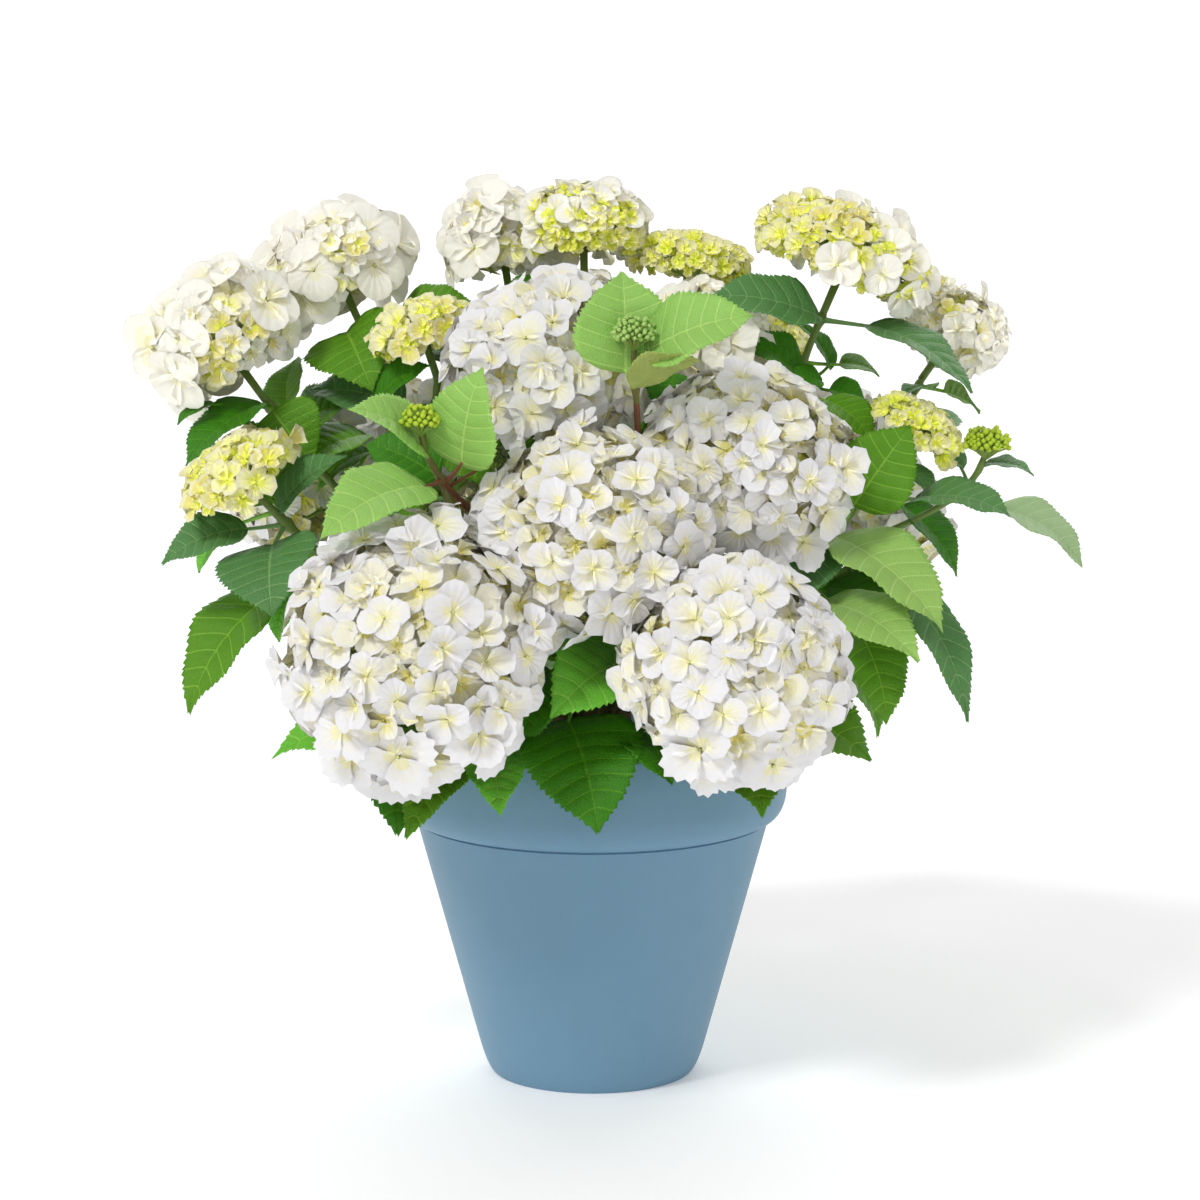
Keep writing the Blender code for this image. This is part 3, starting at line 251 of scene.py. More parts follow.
# Each shoot's leaves: base, tip, width and green
LEAVES = {
    "front_left": (
        ((-0.105, -0.092, 0.243), (-0.123, -0.170, 0.199), 0.057, Tint.DEEP),
        ((-0.082, -0.108, 0.240), (-0.117, -0.176, 0.198), 0.036, Tint.MID),
        ((-0.062, -0.112, 0.243), (-0.058, -0.168, 0.211), 0.036, Tint.BRIGHT),
        ((-0.105, -0.086, 0.252), (-0.204, -0.121, 0.240), 0.044, Tint.BRIGHT),
    ),
    "middle": (
        ((-0.016, -0.116, 0.262), (0.004, -0.176, 0.200), 0.068, Tint.DEEP),
        ((-0.026, -0.098, 0.291), (-0.046, -0.138, 0.246), 0.040, Tint.DEEP),
        ((0.030, -0.112, 0.300), (-0.025, -0.184, 0.277), 0.056, Tint.BRIGHT),
        ((0.012, -0.090, 0.296), (-0.030, -0.118, 0.302), 0.030, Tint.MID),
    ),
    "front_right": (
        ((0.030, -0.108, 0.256), (0.050, -0.166, 0.228), 0.044, Tint.DEEP),
        ((0.066, -0.118, 0.243), (0.082, -0.178, 0.222), 0.030, Tint.MID),
        ((0.100, -0.098, 0.248), (0.106, -0.182, 0.211), 0.052, Tint.MID),
        ((0.106, -0.084, 0.262), (0.178, -0.122, 0.236), 0.066, Tint.MID),
    ),
    "centre": (
        ((-0.104, -0.128, 0.436), (-0.149, -0.160, 0.466), 0.044, Tint.YOUNG),
        ((-0.082, -0.136, 0.425), (-0.069, -0.150, 0.489), 0.052, Tint.YOUNG),
        ((-0.102, -0.142, 0.415), (-0.166, -0.198, 0.390), 0.048, Tint.YOUNG),
        ((-0.097, -0.090, 0.413), (-0.146, -0.074, 0.433), 0.036, Tint.DEEP),
        ((0.021, -0.120, 0.482), (0.019, -0.106, 0.546), 0.060, Tint.YOUNG),
        ((0.032, -0.126, 0.496), (0.100, -0.148, 0.522), 0.048, Tint.YOUNG),
        ((0.054, -0.046, 0.476), (0.046, -0.062, 0.448), 0.030, Tint.DEEP),
    ),
    "low_left": (
        ((-0.208, -0.030, 0.388), (-0.228, 0.002, 0.440), 0.050, Tint.MID),
        ((-0.205, -0.048, 0.386), (-0.159, -0.060, 0.424), 0.036, Tint.BLUE),
        ((-0.222, -0.062, 0.377), (-0.278, -0.074, 0.356), 0.038, Tint.BLUE),
        ((-0.236, -0.038, 0.376), (-0.258, -0.040, 0.344), 0.026, Tint.BRIGHT),
        ((-0.206, -0.068, 0.368), (-0.203, -0.124, 0.330), 0.062, Tint.BLUE),
        ((-0.205, -0.045, 0.334), (-0.262, -0.075, 0.257), 0.050, Tint.MID),
        ((-0.196, -0.046, 0.334), (-0.205, -0.052, 0.300), 0.026, Tint.BRIGHT),
    ),
    "left": (
        ((-0.217, 0.000, 0.452), (-0.266, -0.030, 0.413), 0.050, Tint.DEEP),
        ((-0.212, 0.004, 0.446), (-0.184, -0.010, 0.412), 0.046, Tint.MID),
        ((-0.205, 0.040, 0.444), (-0.198, 0.062, 0.476), 0.040, Tint.MID),
        ((-0.250, 0.002, 0.452), (-0.273, -0.010, 0.438), 0.018, Tint.DEEP),
        ((-0.206, 0.052, 0.424), (-0.158, 0.030, 0.448), 0.052, Tint.MID),
        ((-0.150, 0.026, 0.428), (-0.194, 0.002, 0.404), 0.056, Tint.MID),
        ((-0.148, 0.034, 0.416), (-0.184, 0.020, 0.390), 0.038, Tint.MID),
    ),
    "upper_left": (
        ((-0.166, 0.056, 0.494), (-0.146, -0.005, 0.462), 0.058, Tint.MID),
        ((-0.144, -0.004, 0.452), (-0.106, -0.014, 0.478), 0.034, Tint.DEEP),
        ((-0.130, 0.066, 0.506), (-0.078, 0.052, 0.512), 0.034, Tint.MID),
    ),
    "upper_right": (
        ((0.152, -0.014, 0.456), (0.183, -0.032, 0.428), 0.030, Tint.MID),
        ((0.150, -0.002, 0.508), (0.075, -0.030, 0.525), 0.036, Tint.BLUE),
        ((0.180, -0.006, 0.504), (0.246, -0.050, 0.463), 0.048, Tint.BLUE),
        ((0.160, 0.030, 0.470), (0.134, 0.032, 0.502), 0.024, Tint.DEEP),
        ((0.164, 0.034, 0.474), (0.192, 0.036, 0.466), 0.024, Tint.MID),
        ((0.152, -0.004, 0.466), (0.126, -0.014, 0.468), 0.018, Tint.DEEP),
        ((0.156, 0.004, 0.460), (0.181, 0.004, 0.449), 0.024, Tint.DEEP),
        ((0.232, 0.070, 0.454), (0.208, 0.056, 0.450), 0.026, Tint.DEEP),
        ((0.238, 0.076, 0.452), (0.262, 0.060, 0.438), 0.032, Tint.MID),
        ((0.140, 0.004, 0.468), (0.096, -0.014, 0.494), 0.040, Tint.DEEP),
    ),
    "low_right": (
        ((0.150, -0.072, 0.372), (0.122, -0.106, 0.332), 0.038, Tint.BLUE),
        ((0.168, -0.062, 0.390), (0.206, -0.052, 0.442), 0.048, Tint.MID),
        ((0.206, -0.016, 0.412), (0.222, -0.032, 0.390), 0.024, Tint.BLUE),
        ((0.246, 0.000, 0.408), (0.222, 0.012, 0.420), 0.022, Tint.BLUE),
        ((0.258, -0.008, 0.412), (0.290, -0.020, 0.407), 0.024, Tint.BLUE),
        ((0.208, -0.048, 0.394), (0.268, -0.084, 0.387), 0.040, Tint.BLUE),
        ((0.262, -0.030, 0.386), (0.320, -0.052, 0.352), 0.040, Tint.MIST),
        ((0.205, 0.000, 0.384), (0.242, -0.012, 0.338), 0.036, Tint.DEEP),
        ((0.157, -0.066, 0.372), (0.223, -0.122, 0.320), 0.058, Tint.PALE),
        ((0.200, -0.070, 0.340), (0.240, -0.112, 0.258), 0.038, Tint.BLUE),
        ((0.148, -0.082, 0.332), (0.206, -0.142, 0.303), 0.046, Tint.PALE),
        ((0.168, -0.066, 0.318), (0.190, -0.102, 0.256), 0.044, Tint.MID),
    ),
    "top": (
        ((-0.022, 0.058, 0.526), (-0.070, 0.030, 0.506), 0.028, Tint.DEEP),
    ),
}

# Blades that fold down round a bud and show their undersides
BRACTS = (
    Leaf("centre", (0.0235, -0.1400, 0.4760), (0.0670, -0.1600, 0.4950), 0.028, Tint.OLIVE,
         (-0.25, 0.72, 0.62)),
)


# ----- Materials -----
SKIN_DEPTH = 0.002          # how deep light goes into a sepal or a leaf


class Value:
    """A number in a material; arithmetic on it adds the nodes that work it out."""

    def __init__(self, nodes: "Nodes", socket: bpy.types.NodeSocket) -> None:
        """Wrap a socket of a material's nodes.

        Args:
            nodes: the material's nodes.
            socket: an output that carries a number.
        """
        self.nodes = nodes
        self.socket = socket

    def _math(self, operation: str, first: object, second: object) -> "Value":
        """Return one operation on two values, sockets or numbers."""
        node = self.nodes.add("ShaderNodeMath", {"operation": operation}, {0: first, 1: second})
        return Value(self.nodes, node.outputs[0])

    def __add__(self, other: object) -> "Value":
        """Sum."""
        return self._math("ADD", self, other)

    __radd__ = __add__

    def __sub__(self, other: object) -> "Value":
        """Difference."""
        return self._math("SUBTRACT", self, other)

    def __rsub__(self, other: object) -> "Value":
        """Difference, the other way round."""
        return self._math("SUBTRACT", other, self)

    def __mul__(self, other: object) -> "Value":
        """Product."""
        return self._math("MULTIPLY", self, other)

    __rmul__ = __mul__

    def root(self) -> "Value":
        """Square root."""
        return self._math("POWER", self, 0.5)

    def sine(self) -> "Value":
        """Sine of an angle in radians."""
        return self._math("SINE", self, 0.0)


class Nodes:
    """The nodes of one material, with its Principled shader."""

    def __init__(self, name: str) -> None:
        """Make the material.

        Args:
            name: the material's name.
        """
        self.material = bpy.data.materials.new(name)
        self.material.use_nodes = True
        self.tree = self.material.node_tree
        self.shader = self.tree.nodes["Principled BSDF"]

    def add(self, kind: str, settings: dict, inputs: dict) -> bpy.types.Node:
        """Add a node.

        Args:
            kind: the node's type.
            settings: its settings; "stops" gives a ramp's (place, colour) pairs.
            inputs: socket name or number to a number, a tuple, a socket or a Value.

        Returns:
            The node.
        """
        node = self.tree.nodes.new(kind)
        for key, value in settings.items():
            if key == "stops":
                while len(node.color_ramp.elements) < len(value):
                    node.color_ramp.elements.new(1.0)
                for element, (place, colour) in zip(node.color_ramp.elements, value):
                    element.position = place
                    element.color = (*colour, 1.0)
            else:
                setattr(node, key, value)
        for key, value in inputs.items():
            self.feed(node.inputs[key], value)
        return node

    def feed(self, socket: bpy.types.NodeSocket, value: object) -> None:
        """Set a socket, or link it where the value is a socket or a Value.

        Args:
            socket: an input.
            value: what it takes.
        """
        if isinstance(value, Value):
            value = value.socket
        if isinstance(value, bpy.types.NodeSocket):
            self.tree.links.new(value, socket)
        else:
            socket.default_value = value

    def point(self) -> bpy.types.NodeSocket:
        """Return the place on the piece, in its own frame."""
        return self.add("ShaderNodeTexCoord", {}, {}).outputs["Object"]

    def split(self, vector: bpy.types.NodeSocket) -> list[Value]:
        """Return a vector's three numbers."""
        node = self.add("ShaderNodeSeparateXYZ", {}, {0: vector})
        return [Value(self, output) for output in node.outputs]

    def noise(self, scale: float, detail: float, stretch: tuple = (1.0, 1.0, 1.0)) -> Value:
        """Return a noise pattern, from 0 to 1.

        Args:
            scale: how many waves to the metre.
            detail: finer octaves.
            stretch: scale along each axis, on top.

        Returns:
            The pattern.
        """
        place = self.add("ShaderNodeMapping", {}, {"Vector": self.point(), "Scale": stretch})
        node = self.add("ShaderNodeTexNoise", {},
                        {"Vector": place.outputs[0], "Scale": scale, "Detail": detail})
        return Value(self, node.outputs["Fac"])

    def cells(self, scale: float, feature: str = "DISTANCE_TO_EDGE") -> Value:
        """Return a pattern of cells: the distance to their edges, or with "F1" to their middles."""
        node = self.add("ShaderNodeTexVoronoi", {"feature": feature},
                        {"Vector": self.point(), "Scale": scale})
        return Value(self, node.outputs["Distance"])

    def ramp(self, factor: Value, *stops: tuple) -> bpy.types.NodeSocket:
        """Return a colour that follows a factor through stops of (place, colour)."""
        return self.add("ShaderNodeValToRGB", {"stops": stops}, {0: factor}).outputs["Color"]

    def bump(self, height: Value, depth: float) -> None:
        """Raise the surface by a height pattern, depth in metres."""
        node = self.add("ShaderNodeBump", {}, {"Height": height, "Distance": depth, "Strength": 1.0})
        self.feed(self.shader.inputs["Normal"], node.outputs["Normal"])

    def let_through(self, share: float, colour: tuple) -> None:
        """Let a thin skin scatter light through itself.

        Args:
            share: how much of the light.
            colour: its tint on the way.
        """
        self.shader.subsurface_method = "BURLEY"
        self.plain(Subsurface_Weight=share, Subsurface_Radius=colour, Subsurface_Scale=SKIN_DEPTH)

    def plain(self, **values: object) -> None:
        """Set the shader's own sockets by name, with underscores for spaces."""
        for name, value in values.items():
            self.feed(self.shader.inputs[name.replace("_", " ")], value)


# In the finishes, a noise is given as its waves to the metre, its detail and its stretch, and a
# span is how far a value that starts at the one named before it goes up.
@dataclass(frozen=True)
class PetalFinish:
    """A sepal's matt skin with faint veins that fan out from its claw."""

    name: str
    colour: tuple
    glow: float                     # share of the light that comes through from the other side
    roughness: float = 0.62
    specular: float = 0.25
    fan: float = 40.0               # radians of the veins' waves across the sepal
    grain: tuple = (500.0, 2.0)
    grain_share: float = 1.2
    relief: float = 0.00013

    def material(self) -> bpy.types.Material:
        """Wire up the finish.

        Returns:
            Its material.
        """
        nodes = Nodes(self.name)
        place = nodes.add("ShaderNodeUVMap", {"uv_map": "Surface"}, {}).outputs["UV"]
        across, along, _ = nodes.split(place)
        veins = (across * self.fan).sine() * along.root()
        nodes.bump(veins + nodes.noise(*self.grain) * self.grain_share, self.relief)
        nodes.plain(Base_Color=(*self.colour, 1.0), Roughness=self.roughness,
                    Specular_IOR_Level=self.specular)
        nodes.let_through(self.glow, self.colour)
        return nodes.material


@dataclass(frozen=True)
class LeafFinish:
    """A leaf's skin: a fine net between the veins, softly shiny."""

    name: str
    colour: tuple
    roughness: float = 0.42
    span: float = 0.16
    patches: tuple = (240.0, 2.0)
    specular: float = 0.28
    net: float = 420.0
    ripples: tuple = (160.0, 3.0)
    ripple_share: float = 0.9
    relief: float = 0.00045
    glow: float = 0.25

    def material(self) -> bpy.types.Material:
        """Wire up the finish.

        Returns:
            Its material.
        """
        nodes = Nodes(self.name)
        net = nodes.cells(self.net).root()
        nodes.bump(net + nodes.noise(*self.ripples) * self.ripple_share, self.relief)
        nodes.plain(Base_Color=(*self.colour, 1.0), Specular_IOR_Level=self.specular,
                    Roughness=nodes.noise(*self.patches) * self.span + self.roughness)
        nodes.let_through(self.glow, self.colour)
        return nodes.material


@dataclass(frozen=True)
class SkinFinish:
    """An even skin with a fine relief: a young stem, ribbed along its length, or a grain."""

    name: str
    colour: tuple
    roughness: float = 0.5
    ribs: tuple = (700.0, 3.0, (1.0, 1.0, 0.25))
    relief: float = 0.0003

    def material(self) -> bpy.types.Material:
        """Wire up the finish.

        Returns:
            Its material.
        """
        nodes = Nodes(self.name)
        nodes.bump(nodes.noise(*self.ribs), self.relief)
        nodes.plain(Base_Color=(*self.colour, 1.0), Roughness=self.roughness)
        return nodes.material


@dataclass(frozen=True)
class BarkFinish:
    """Woody bark: grey-brown flakes over a warmer layer, pale breathing spots."""

    name: str = "bark"
    stops: tuple = ((0.28, (0.050, 0.032, 0.018)), (0.50, (0.165, 0.115, 0.066)),
                    (0.68, (0.300, 0.235, 0.150)))
    flakes: tuple = (130.0, 5.0, (1.0, 1.0, 0.22))
    flake_share: float = 0.85
    spots: float = 260.0
    spot_share: float = 0.12
    cracks: tuple = (420.0, 3.0, (1.0, 1.0, 0.3))
    crack_share: float = 0.4
    relief: float = 0.0012
    roughness: float = 0.72
    span: float = 0.2
    patches: tuple = (300.0, 3.0)

    def material(self) -> bpy.types.Material:
        """Wire up the finish.

        Returns:
            Its material.
        """
        nodes = Nodes(self.name)
        flakes = nodes.noise(*self.flakes)
        spots = nodes.cells(self.spots, "F1")
        tone = flakes * self.flake_share + (1.0 - spots) * self.spot_share
        nodes.bump(flakes + nodes.noise(*self.cracks) * self.crack_share, self.relief)
        nodes.plain(Base_Color=nodes.ramp(tone, *self.stops),
                    Roughness=nodes.noise(*self.patches) * self.span + self.roughness)
        return nodes.material


@dataclass(frozen=True)
class PlasticFinish:
    """Matt moulded plastic: a fine grain, faint flow marks and a few rubbed places."""

    name: str = "pot_plastic"
    colour: tuple = (0.148, 0.290, 0.410)
    rubbed: tuple = (0.160, 0.305, 0.425)
    shade: float = 0.97             # of the darkest places, against the colour
    places: tuple = (0.30, 0.55, 0.80)
    flow: tuple = (9.0, 4.0, (1.0, 1.0, 0.45))
    flow_share: float = 0.6
    wear: tuple = (60.0, 6.0)
    wear_share: float = 0.4
    cells: float = 1500.0
    grain: tuple = (500.0, 3.0)
    grain_share: float = 0.6
    relief: float = 0.00012
    roughness: float = 0.42
    span: float = 0.14
    patches: tuple = (35.0, 4.0)
    specular: float = 0.4

    def material(self) -> bpy.types.Material:
        """Wire up the finish.

        Returns:
            Its material.
        """
        nodes = Nodes(self.name)
        tone = nodes.noise(*self.flow) * self.flow_share + nodes.noise(*self.wear) * self.wear_share
        shaded = tuple(part * self.shade for part in self.colour)
        colour = nodes.ramp(tone, *zip(self.places, (shaded, self.colour, self.rubbed)))
        cells, grain = nodes.cells(self.cells), nodes.noise(*self.grain)
        nodes.bump(cells * self.grain_share + grain * self.grain_share, self.relief)
        nodes.plain(Base_Color=colour, Specular_IOR_Level=self.specular,
                    Roughness=nodes.noise(*self.patches) * self.span + self.roughness)
        return nodes.material


@dataclass(frozen=True)
class CompostFinish:
    """Damp potting compost: dark crumbs with brown fibres."""

    name: str = "compost"
    stops: tuple = ((0.30, (0.012, 0.008, 0.006)), (0.62, (0.045, 0.028, 0.017)),
                    (0.92, (0.110, 0.070, 0.040)))
    crumbs: float = 330.0
    fibres: tuple = (240.0, 6.0, (0.25, 1.0, 1.0))
    relief: float = 0.0012
    roughness: float = 0.8
    span: float = 0.15
    patches: tuple = (200.0, 3.0)

    def material(self) -> bpy.types.Material:
        """Wire up the finish.

        Returns:
            Its material.
        """
        nodes = Nodes(self.name)
        crumbs, fibres = nodes.cells(self.crumbs), nodes.noise(*self.fibres)
        nodes.bump(crumbs + fibres * 0.5, self.relief)
        nodes.plain(Base_Color=nodes.ramp(crumbs * 2.0 + fibres * 0.6, *self.stops),
                    Roughness=nodes.noise(*self.patches) * self.span + self.roughness)
        return nodes.material


# Each sepal tone's colour, and how much light comes through it
PETALS = {
    "white": ((0.840, 0.830, 0.840), 0.28),
    "pearl": ((0.850, 0.835, 0.780), 0.34),
    # snow: partly the creamier white of the heads behind and above the front ones, partly painted
    # light, set brighter than the front heads' white to lift their shade
    "snow": ((0.950, 0.930, 0.835), 0.95),
    "milk": ((0.945, 0.915, 0.700), 0.95),
    "ivory": ((0.880, 0.855, 0.690), 0.75),
    "cream": ((0.880, 0.840, 0.530), 0.75),
    "butter": ((0.850, 0.780, 0.280), 0.75),
    "pale_lime": ((0.930, 0.920, 0.420), 0.85),
    "lime": ((0.900, 0.920, 0.160), 0.90),
    "green": ((0.780, 0.860, 0.080), 0.90),
    "eye": ((0.720, 0.740, 0.260), 0.75),
}
# Each green's blade, veins and underside
BLADES = {
    Tint.DEEP: ((0.040, 0.205, 0.002), (0.085, 0.285, 0.006), (0.130, 0.290, 0.050)),
    Tint.MID: ((0.100, 0.280, 0.008), (0.200, 0.420, 0.030), (0.200, 0.370, 0.080)),
    Tint.BRIGHT: ((0.150, 0.490, 0.038), (0.270, 0.600, 0.075), (0.260, 0.480, 0.110)),
    Tint.BLUE: ((0.090, 0.240, 0.065), (0.190, 0.360, 0.120), (0.230, 0.390, 0.200)),
    Tint.PALE: ((0.320, 0.540, 0.125), (0.440, 0.650, 0.200), (0.400, 0.560, 0.200)),
    Tint.YOUNG: ((0.300, 0.545, 0.115), (0.440, 0.680, 0.170), (0.420, 0.610, 0.190)),
    Tint.MIST: ((0.340, 0.480, 0.240), (0.430, 0.580, 0.300), (0.400, 0.540, 0.300)),
    Tint.OLIVE: ((0.300, 0.540, 0.115), (0.360, 0.420, 0.110), (0.330, 0.400, 0.100)),
}
STEMS = {
    "stem_green": (0.135, 0.215, 0.035),
    "stem_olive": (0.165, 0.160, 0.040),
    "stem_red": (0.230, 0.085, 0.035),
    "stem_young": (0.300, 0.430, 0.090),
}
FLAT = ((600.0, 2.0), 0.0001)       # noise and relief of grains and paper
GRAIN_ROUGHNESS = 0.55
GRAINS = {
    "bud_bright": (0.480, 0.640, 0.030),
    "bud_pale": (0.400, 0.620, 0.160),
    # painted shade: a young bud's green darkened to how it looks in shadow
    "bud_dark": (0.060, 0.090, 0.014),
}


class Palette:
    """Every finish, made once and handed out by name."""

    def __init__(self) -> None:
        """Start with no material made."""
        self.made: dict[str, bpy.types.Material] = {}
        self.finishes: dict[str, object] = {}
        for name, (colour, glow) in PETALS.items():
            self.finishes["petal_" + name] = PetalFinish("petal_" + name, colour, glow)
        for tint, colours in BLADES.items():
            for part, colour in zip(("blade", "vein", "under"), colours):
                name = f"{part}_{tint.value}"
                self.finishes[name] = LeafFinish(name, colour)
        for name, colour in STEMS.items():
            self.finishes[name] = SkinFinish(name, colour)
        for name, colour in GRAINS.items():
            self.finishes[name] = SkinFinish(name, colour, GRAIN_ROUGHNESS, *FLAT)
        for finish in (BarkFinish(), PlasticFinish(), CompostFinish()):
            self.finishes[finish.name] = finish

    def get(self, name: str) -> bpy.types.Material:
        """Return a material by its finish's name."""
        if name not in self.made:
            self.made[name] = self.finishes[name].material()
        return self.made[name]


# ----- Meshes -----
@dataclass
class Batch:
    """Many small shapes gathered into one piece."""

    name: str
    points: list[Array] = field(default_factory=list)
    places: list[Array] = field(default_factory=list)
    faces: list[list] = field(default_factory=list)
    finishes: list[int] = field(default_factory=list)
    names: list[str] = field(default_factory=list)
    count: int = 0

    def slot(self, name: str) -> int:
        """Return the number of a finish in this piece."""
        if name not in self.names:
            self.names.append(name)
        return self.names.index(name)

    def add(self, points: Array, faces: list, finishes: list | str,
            places: Array | None = None) -> None:
        """Add a shape.

        Args:
            points: its corners, n by 3.
            faces: its faces as lists of corner numbers.
            finishes: the name of each face's finish, or one name for all.
            places: the corners' places on the surface, n by 2.
        """
        start = self.count
        self.points.append(points)
        self.places.append(np.zeros((len(points), 2)) if places is None else places)
        self.faces += [[corner + start for corner in face] for face in faces]
        if isinstance(finishes, str):
            finishes = [finishes] * len(faces)
        self.finishes += [self.slot(name) for name in finishes]
        self.count += len(points)

    def build(self, palette: Palette) -> bpy.types.Object:
        """Make the piece.

        Args:
            palette: the finishes.

        Returns:
            The finished piece.
        """
        mesh = bpy.data.meshes.new(self.name)
        points = np.concatenate(self.points)
        mesh.from_pydata(points.tolist(), [], self.faces)
        mesh.polygons.foreach_set("material_index", np.array(self.finishes, np.int32))
        places = np.concatenate(self.places)
        corners = np.zeros(len(mesh.loops), np.int32)
        mesh.loops.foreach_get("vertex_index", corners)
        layer = mesh.uv_layers.new(name="Surface")
        layer.data.foreach_set("uv", places[corners].astype(np.float32).ravel())
        for name in self.names:
            mesh.materials.append(palette.get(name))
        mesh.shade_smooth()
        mesh.update()
        return show(self.name, mesh)


def show(name: str, data: bpy.types.ID) -> bpy.types.Object:
    """Return a new object of the scene that shows a mesh, a lamp or a camera."""
    item = bpy.data.objects.new(name, data)
    bpy.context.scene.collection.objects.link(item)
    return item


def settle(piece: bpy.types.Object, slot: str, *nodes: str) -> None:
    """Let a piece ride on the plant, stand for solids, and report it.

    Args:
        piece: the piece.
        slot: not used.
        nodes: the solids that it stands for.
    """
    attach(piece, "root")
    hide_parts(*nodes)
    faces = sum(len(face.vertices) - 2 for face in piece.data.polygons)
    LOG.info("%s: %d triangles", piece.name, faces)


def mesh_piece(work: bmesh.types.BMesh, name: str, material: bpy.types.Material,
               angle: float = 40.0) -> bpy.types.Object:
    """Turn a bmesh into a piece.

    Args:
        work: the bmesh, which is freed.
        name: the piece's name.
        material: its material.
        angle: edges up to this are smooth, degrees.

    Returns:
        The piece.
    """
    mesh = bpy.data.meshes.new(name)
    work.to_mesh(mesh)
    work.free()
    mesh.materials.append(material)
    mesh.shade_smooth()
    mesh.set_sharp_from_angle(angle=math.radians(angle))
    return show(name, mesh)


def shape_of(work: bmesh.types.BMesh) -> Shape:
    """Take a bmesh's shape.

    Args:
        work: the bmesh, which is freed.

    Returns:
        Its points and faces.
    """
    work.verts.index_update()
    points = np.array([corner.co for corner in work.verts], float).reshape(-1, 3)
    faces = [[corner.index for corner in face.verts] for face in work.faces]
    work.free()
    return points, faces


def grid_shape(columns: int, rows: int) -> Shape:
    """Make a flat grid from -1 to 1 each way.

    Args:
        columns: faces across.
        rows: faces along.

    Returns:
        Its points and faces.
    """
    work = bmesh.new()
    bmesh.ops.create_grid(work, x_segments=columns, y_segments=rows, size=1.0)
    return shape_of(work)


def bead_shape() -> Shape:
    """Return a faceted ball of radius 1, of 20 faces."""
    work = bmesh.new()
    bmesh.ops.create_icosphere(work, subdivisions=1, radius=1.0)
    return shape_of(work)


def unit(vectors: Array) -> Array:
    """Return vectors scaled to length 1, along the last axis."""
    return vectors / np.maximum(np.linalg.norm(vectors, axis=-1, keepdims=True), TINY)


def dome_way(index: int, count: int, fullness: float) -> Array:
    """Spread directions evenly over a dome, in a spiral.

    Args:
        index: which one.
        count: how many there are.
        fullness: 1 covers half a ball, 2 all of it.

    Returns:
        The direction.
    """
    polar = math.acos(1.0 - (index + 0.5) / count * fullness)
    azimuth = index * GOLDEN_TURN
    return np.array([math.sin(polar) * math.cos(azimuth), math.sin(polar) * math.sin(azimuth),
                     math.cos(polar)])


def resample(run: list, least: int, spacing: float) -> tuple[Array, Array]:
    """Space a run's points evenly.

    Args:
        run: the points.
        least: how many points it has at least.
        spacing: how far apart they are, in metres.

    Returns:
        The new points, and how far along the run each one lies.
    """
    path = np.array(run)
    lengths = np.concatenate(([0.0], np.cumsum(np.linalg.norm(np.diff(path, axis=0), axis=1))))
    fine = np.linspace(0.0, lengths[-1], max(least, int(lengths[-1] / spacing)))
    return np.stack([np.interp(fine, lengths, path[:, k]) for k in range(3)], axis=1), fine


def taper(ends: tuple, share: Array) -> Array:
    """Return radii that run from the first end's to the last's."""
    return ends[0] * (1.0 - share) + ends[1] * share


def tube_shape(path: Array, radii: Array, sides: int) -> Shape:
    """Return a closed tube round a path.

    Args:
        path: its points, n by 3.
        radii: its radius at each point.
        sides: how many sides it has.

    Returns:
        The tube's points and faces.
    """
    along = unit(np.gradient(path, axis=0))
    spare = np.array([0.0, 0.0, 1.0]) if abs(along[0][2]) < 0.8 else np.array([1.0, 0.0, 0.0])
    across = unit(np.cross(along[0], spare))
    turns = np.arange(sides) * (FULL_TURN / sides)
    rings = []
    for centre, way, radius in zip(path, along, radii):
        across = unit(across - way * np.dot(across, way))
        beside = np.cross(way, across)
        ring = np.cos(turns)[:, None] * across + np.sin(turns)[:, None] * beside
        rings.append(centre + radius * ring)
    faces = []
    for ring in range(len(path) - 1):
        low, high = ring * sides, (ring + 1) * sides
        for side in range(sides):
            after = (side + 1) % sides
            faces.append([low + side, low + after, high + after, high + side])
    faces.append(list(range(sides))[::-1])
    faces.append([(len(path) - 1) * sides + side for side in range(sides)])
    return np.concatenate(rings), faces


# ----- The growth rule -----
def direction(azimuth: float, elevation: float) -> Vector:
    """Return the unit vector at an azimuth and elevation in degrees."""
    turn, rise = math.radians(azimuth), math.radians(elevation)
    return Vector((math.cos(rise) * math.cos(turn), math.cos(rise) * math.sin(turn), math.sin(rise)))


def smooth_path(points: list, start: Vector, end: Vector, steps: int) -> list:
    """Return a smooth run through points.

    Args:
        points: the points it passes through.
        start: the way it leaves the first.
        end: the way it arrives at the last.
        steps: how many steps it has in all.

    Returns:
        The points of the run.
    """
    tangents = []
    for index, point in enumerate(points):
        if index == 0:
            tangents.append(start * (points[1] - point).length)
        elif index == len(points) - 1:
            tangents.append(end * (point - points[index - 1]).length)
        else:
            tangents.append((points[index + 1] - points[index - 1]) / 2.0)
    run = [points[0]]
    spans = len(points) - 1
    for span in range(spans):
        first, last = points[span], points[span + 1]
        out, into = tangents[span], tangents[span + 1]
        count = max(LIMB_STEPS, round(steps / spans))
        for step in range(1, count + 1):
            s = step / count
            leave = out * (s ** 3 - 2 * s ** 2 + s)
            run.append(first * (2 * s ** 3 - 3 * s ** 2 + 1) + leave
                       + last * (3 * s ** 2 - 2 * s ** 3) + into * (s ** 3 - s ** 2))
    return run


def joint_run(run: list, start: Vector | None = None, end: Vector | None = None) -> list:
    """Give a run straight ends.

    Args:
        run: the run's points.
        start: the way it leaves its first joint, or none.
        end: the way it arrives at its last joint, or none.

    Returns:
        The points with the straight ends.
    """
    points = list(run)
    if start is not None:
        points.insert(1, points[0] + start * STRAIGHT)
    if end is not None:
        points.insert(len(points) - 1, points[-1] - end * STRAIGHT)
    return points


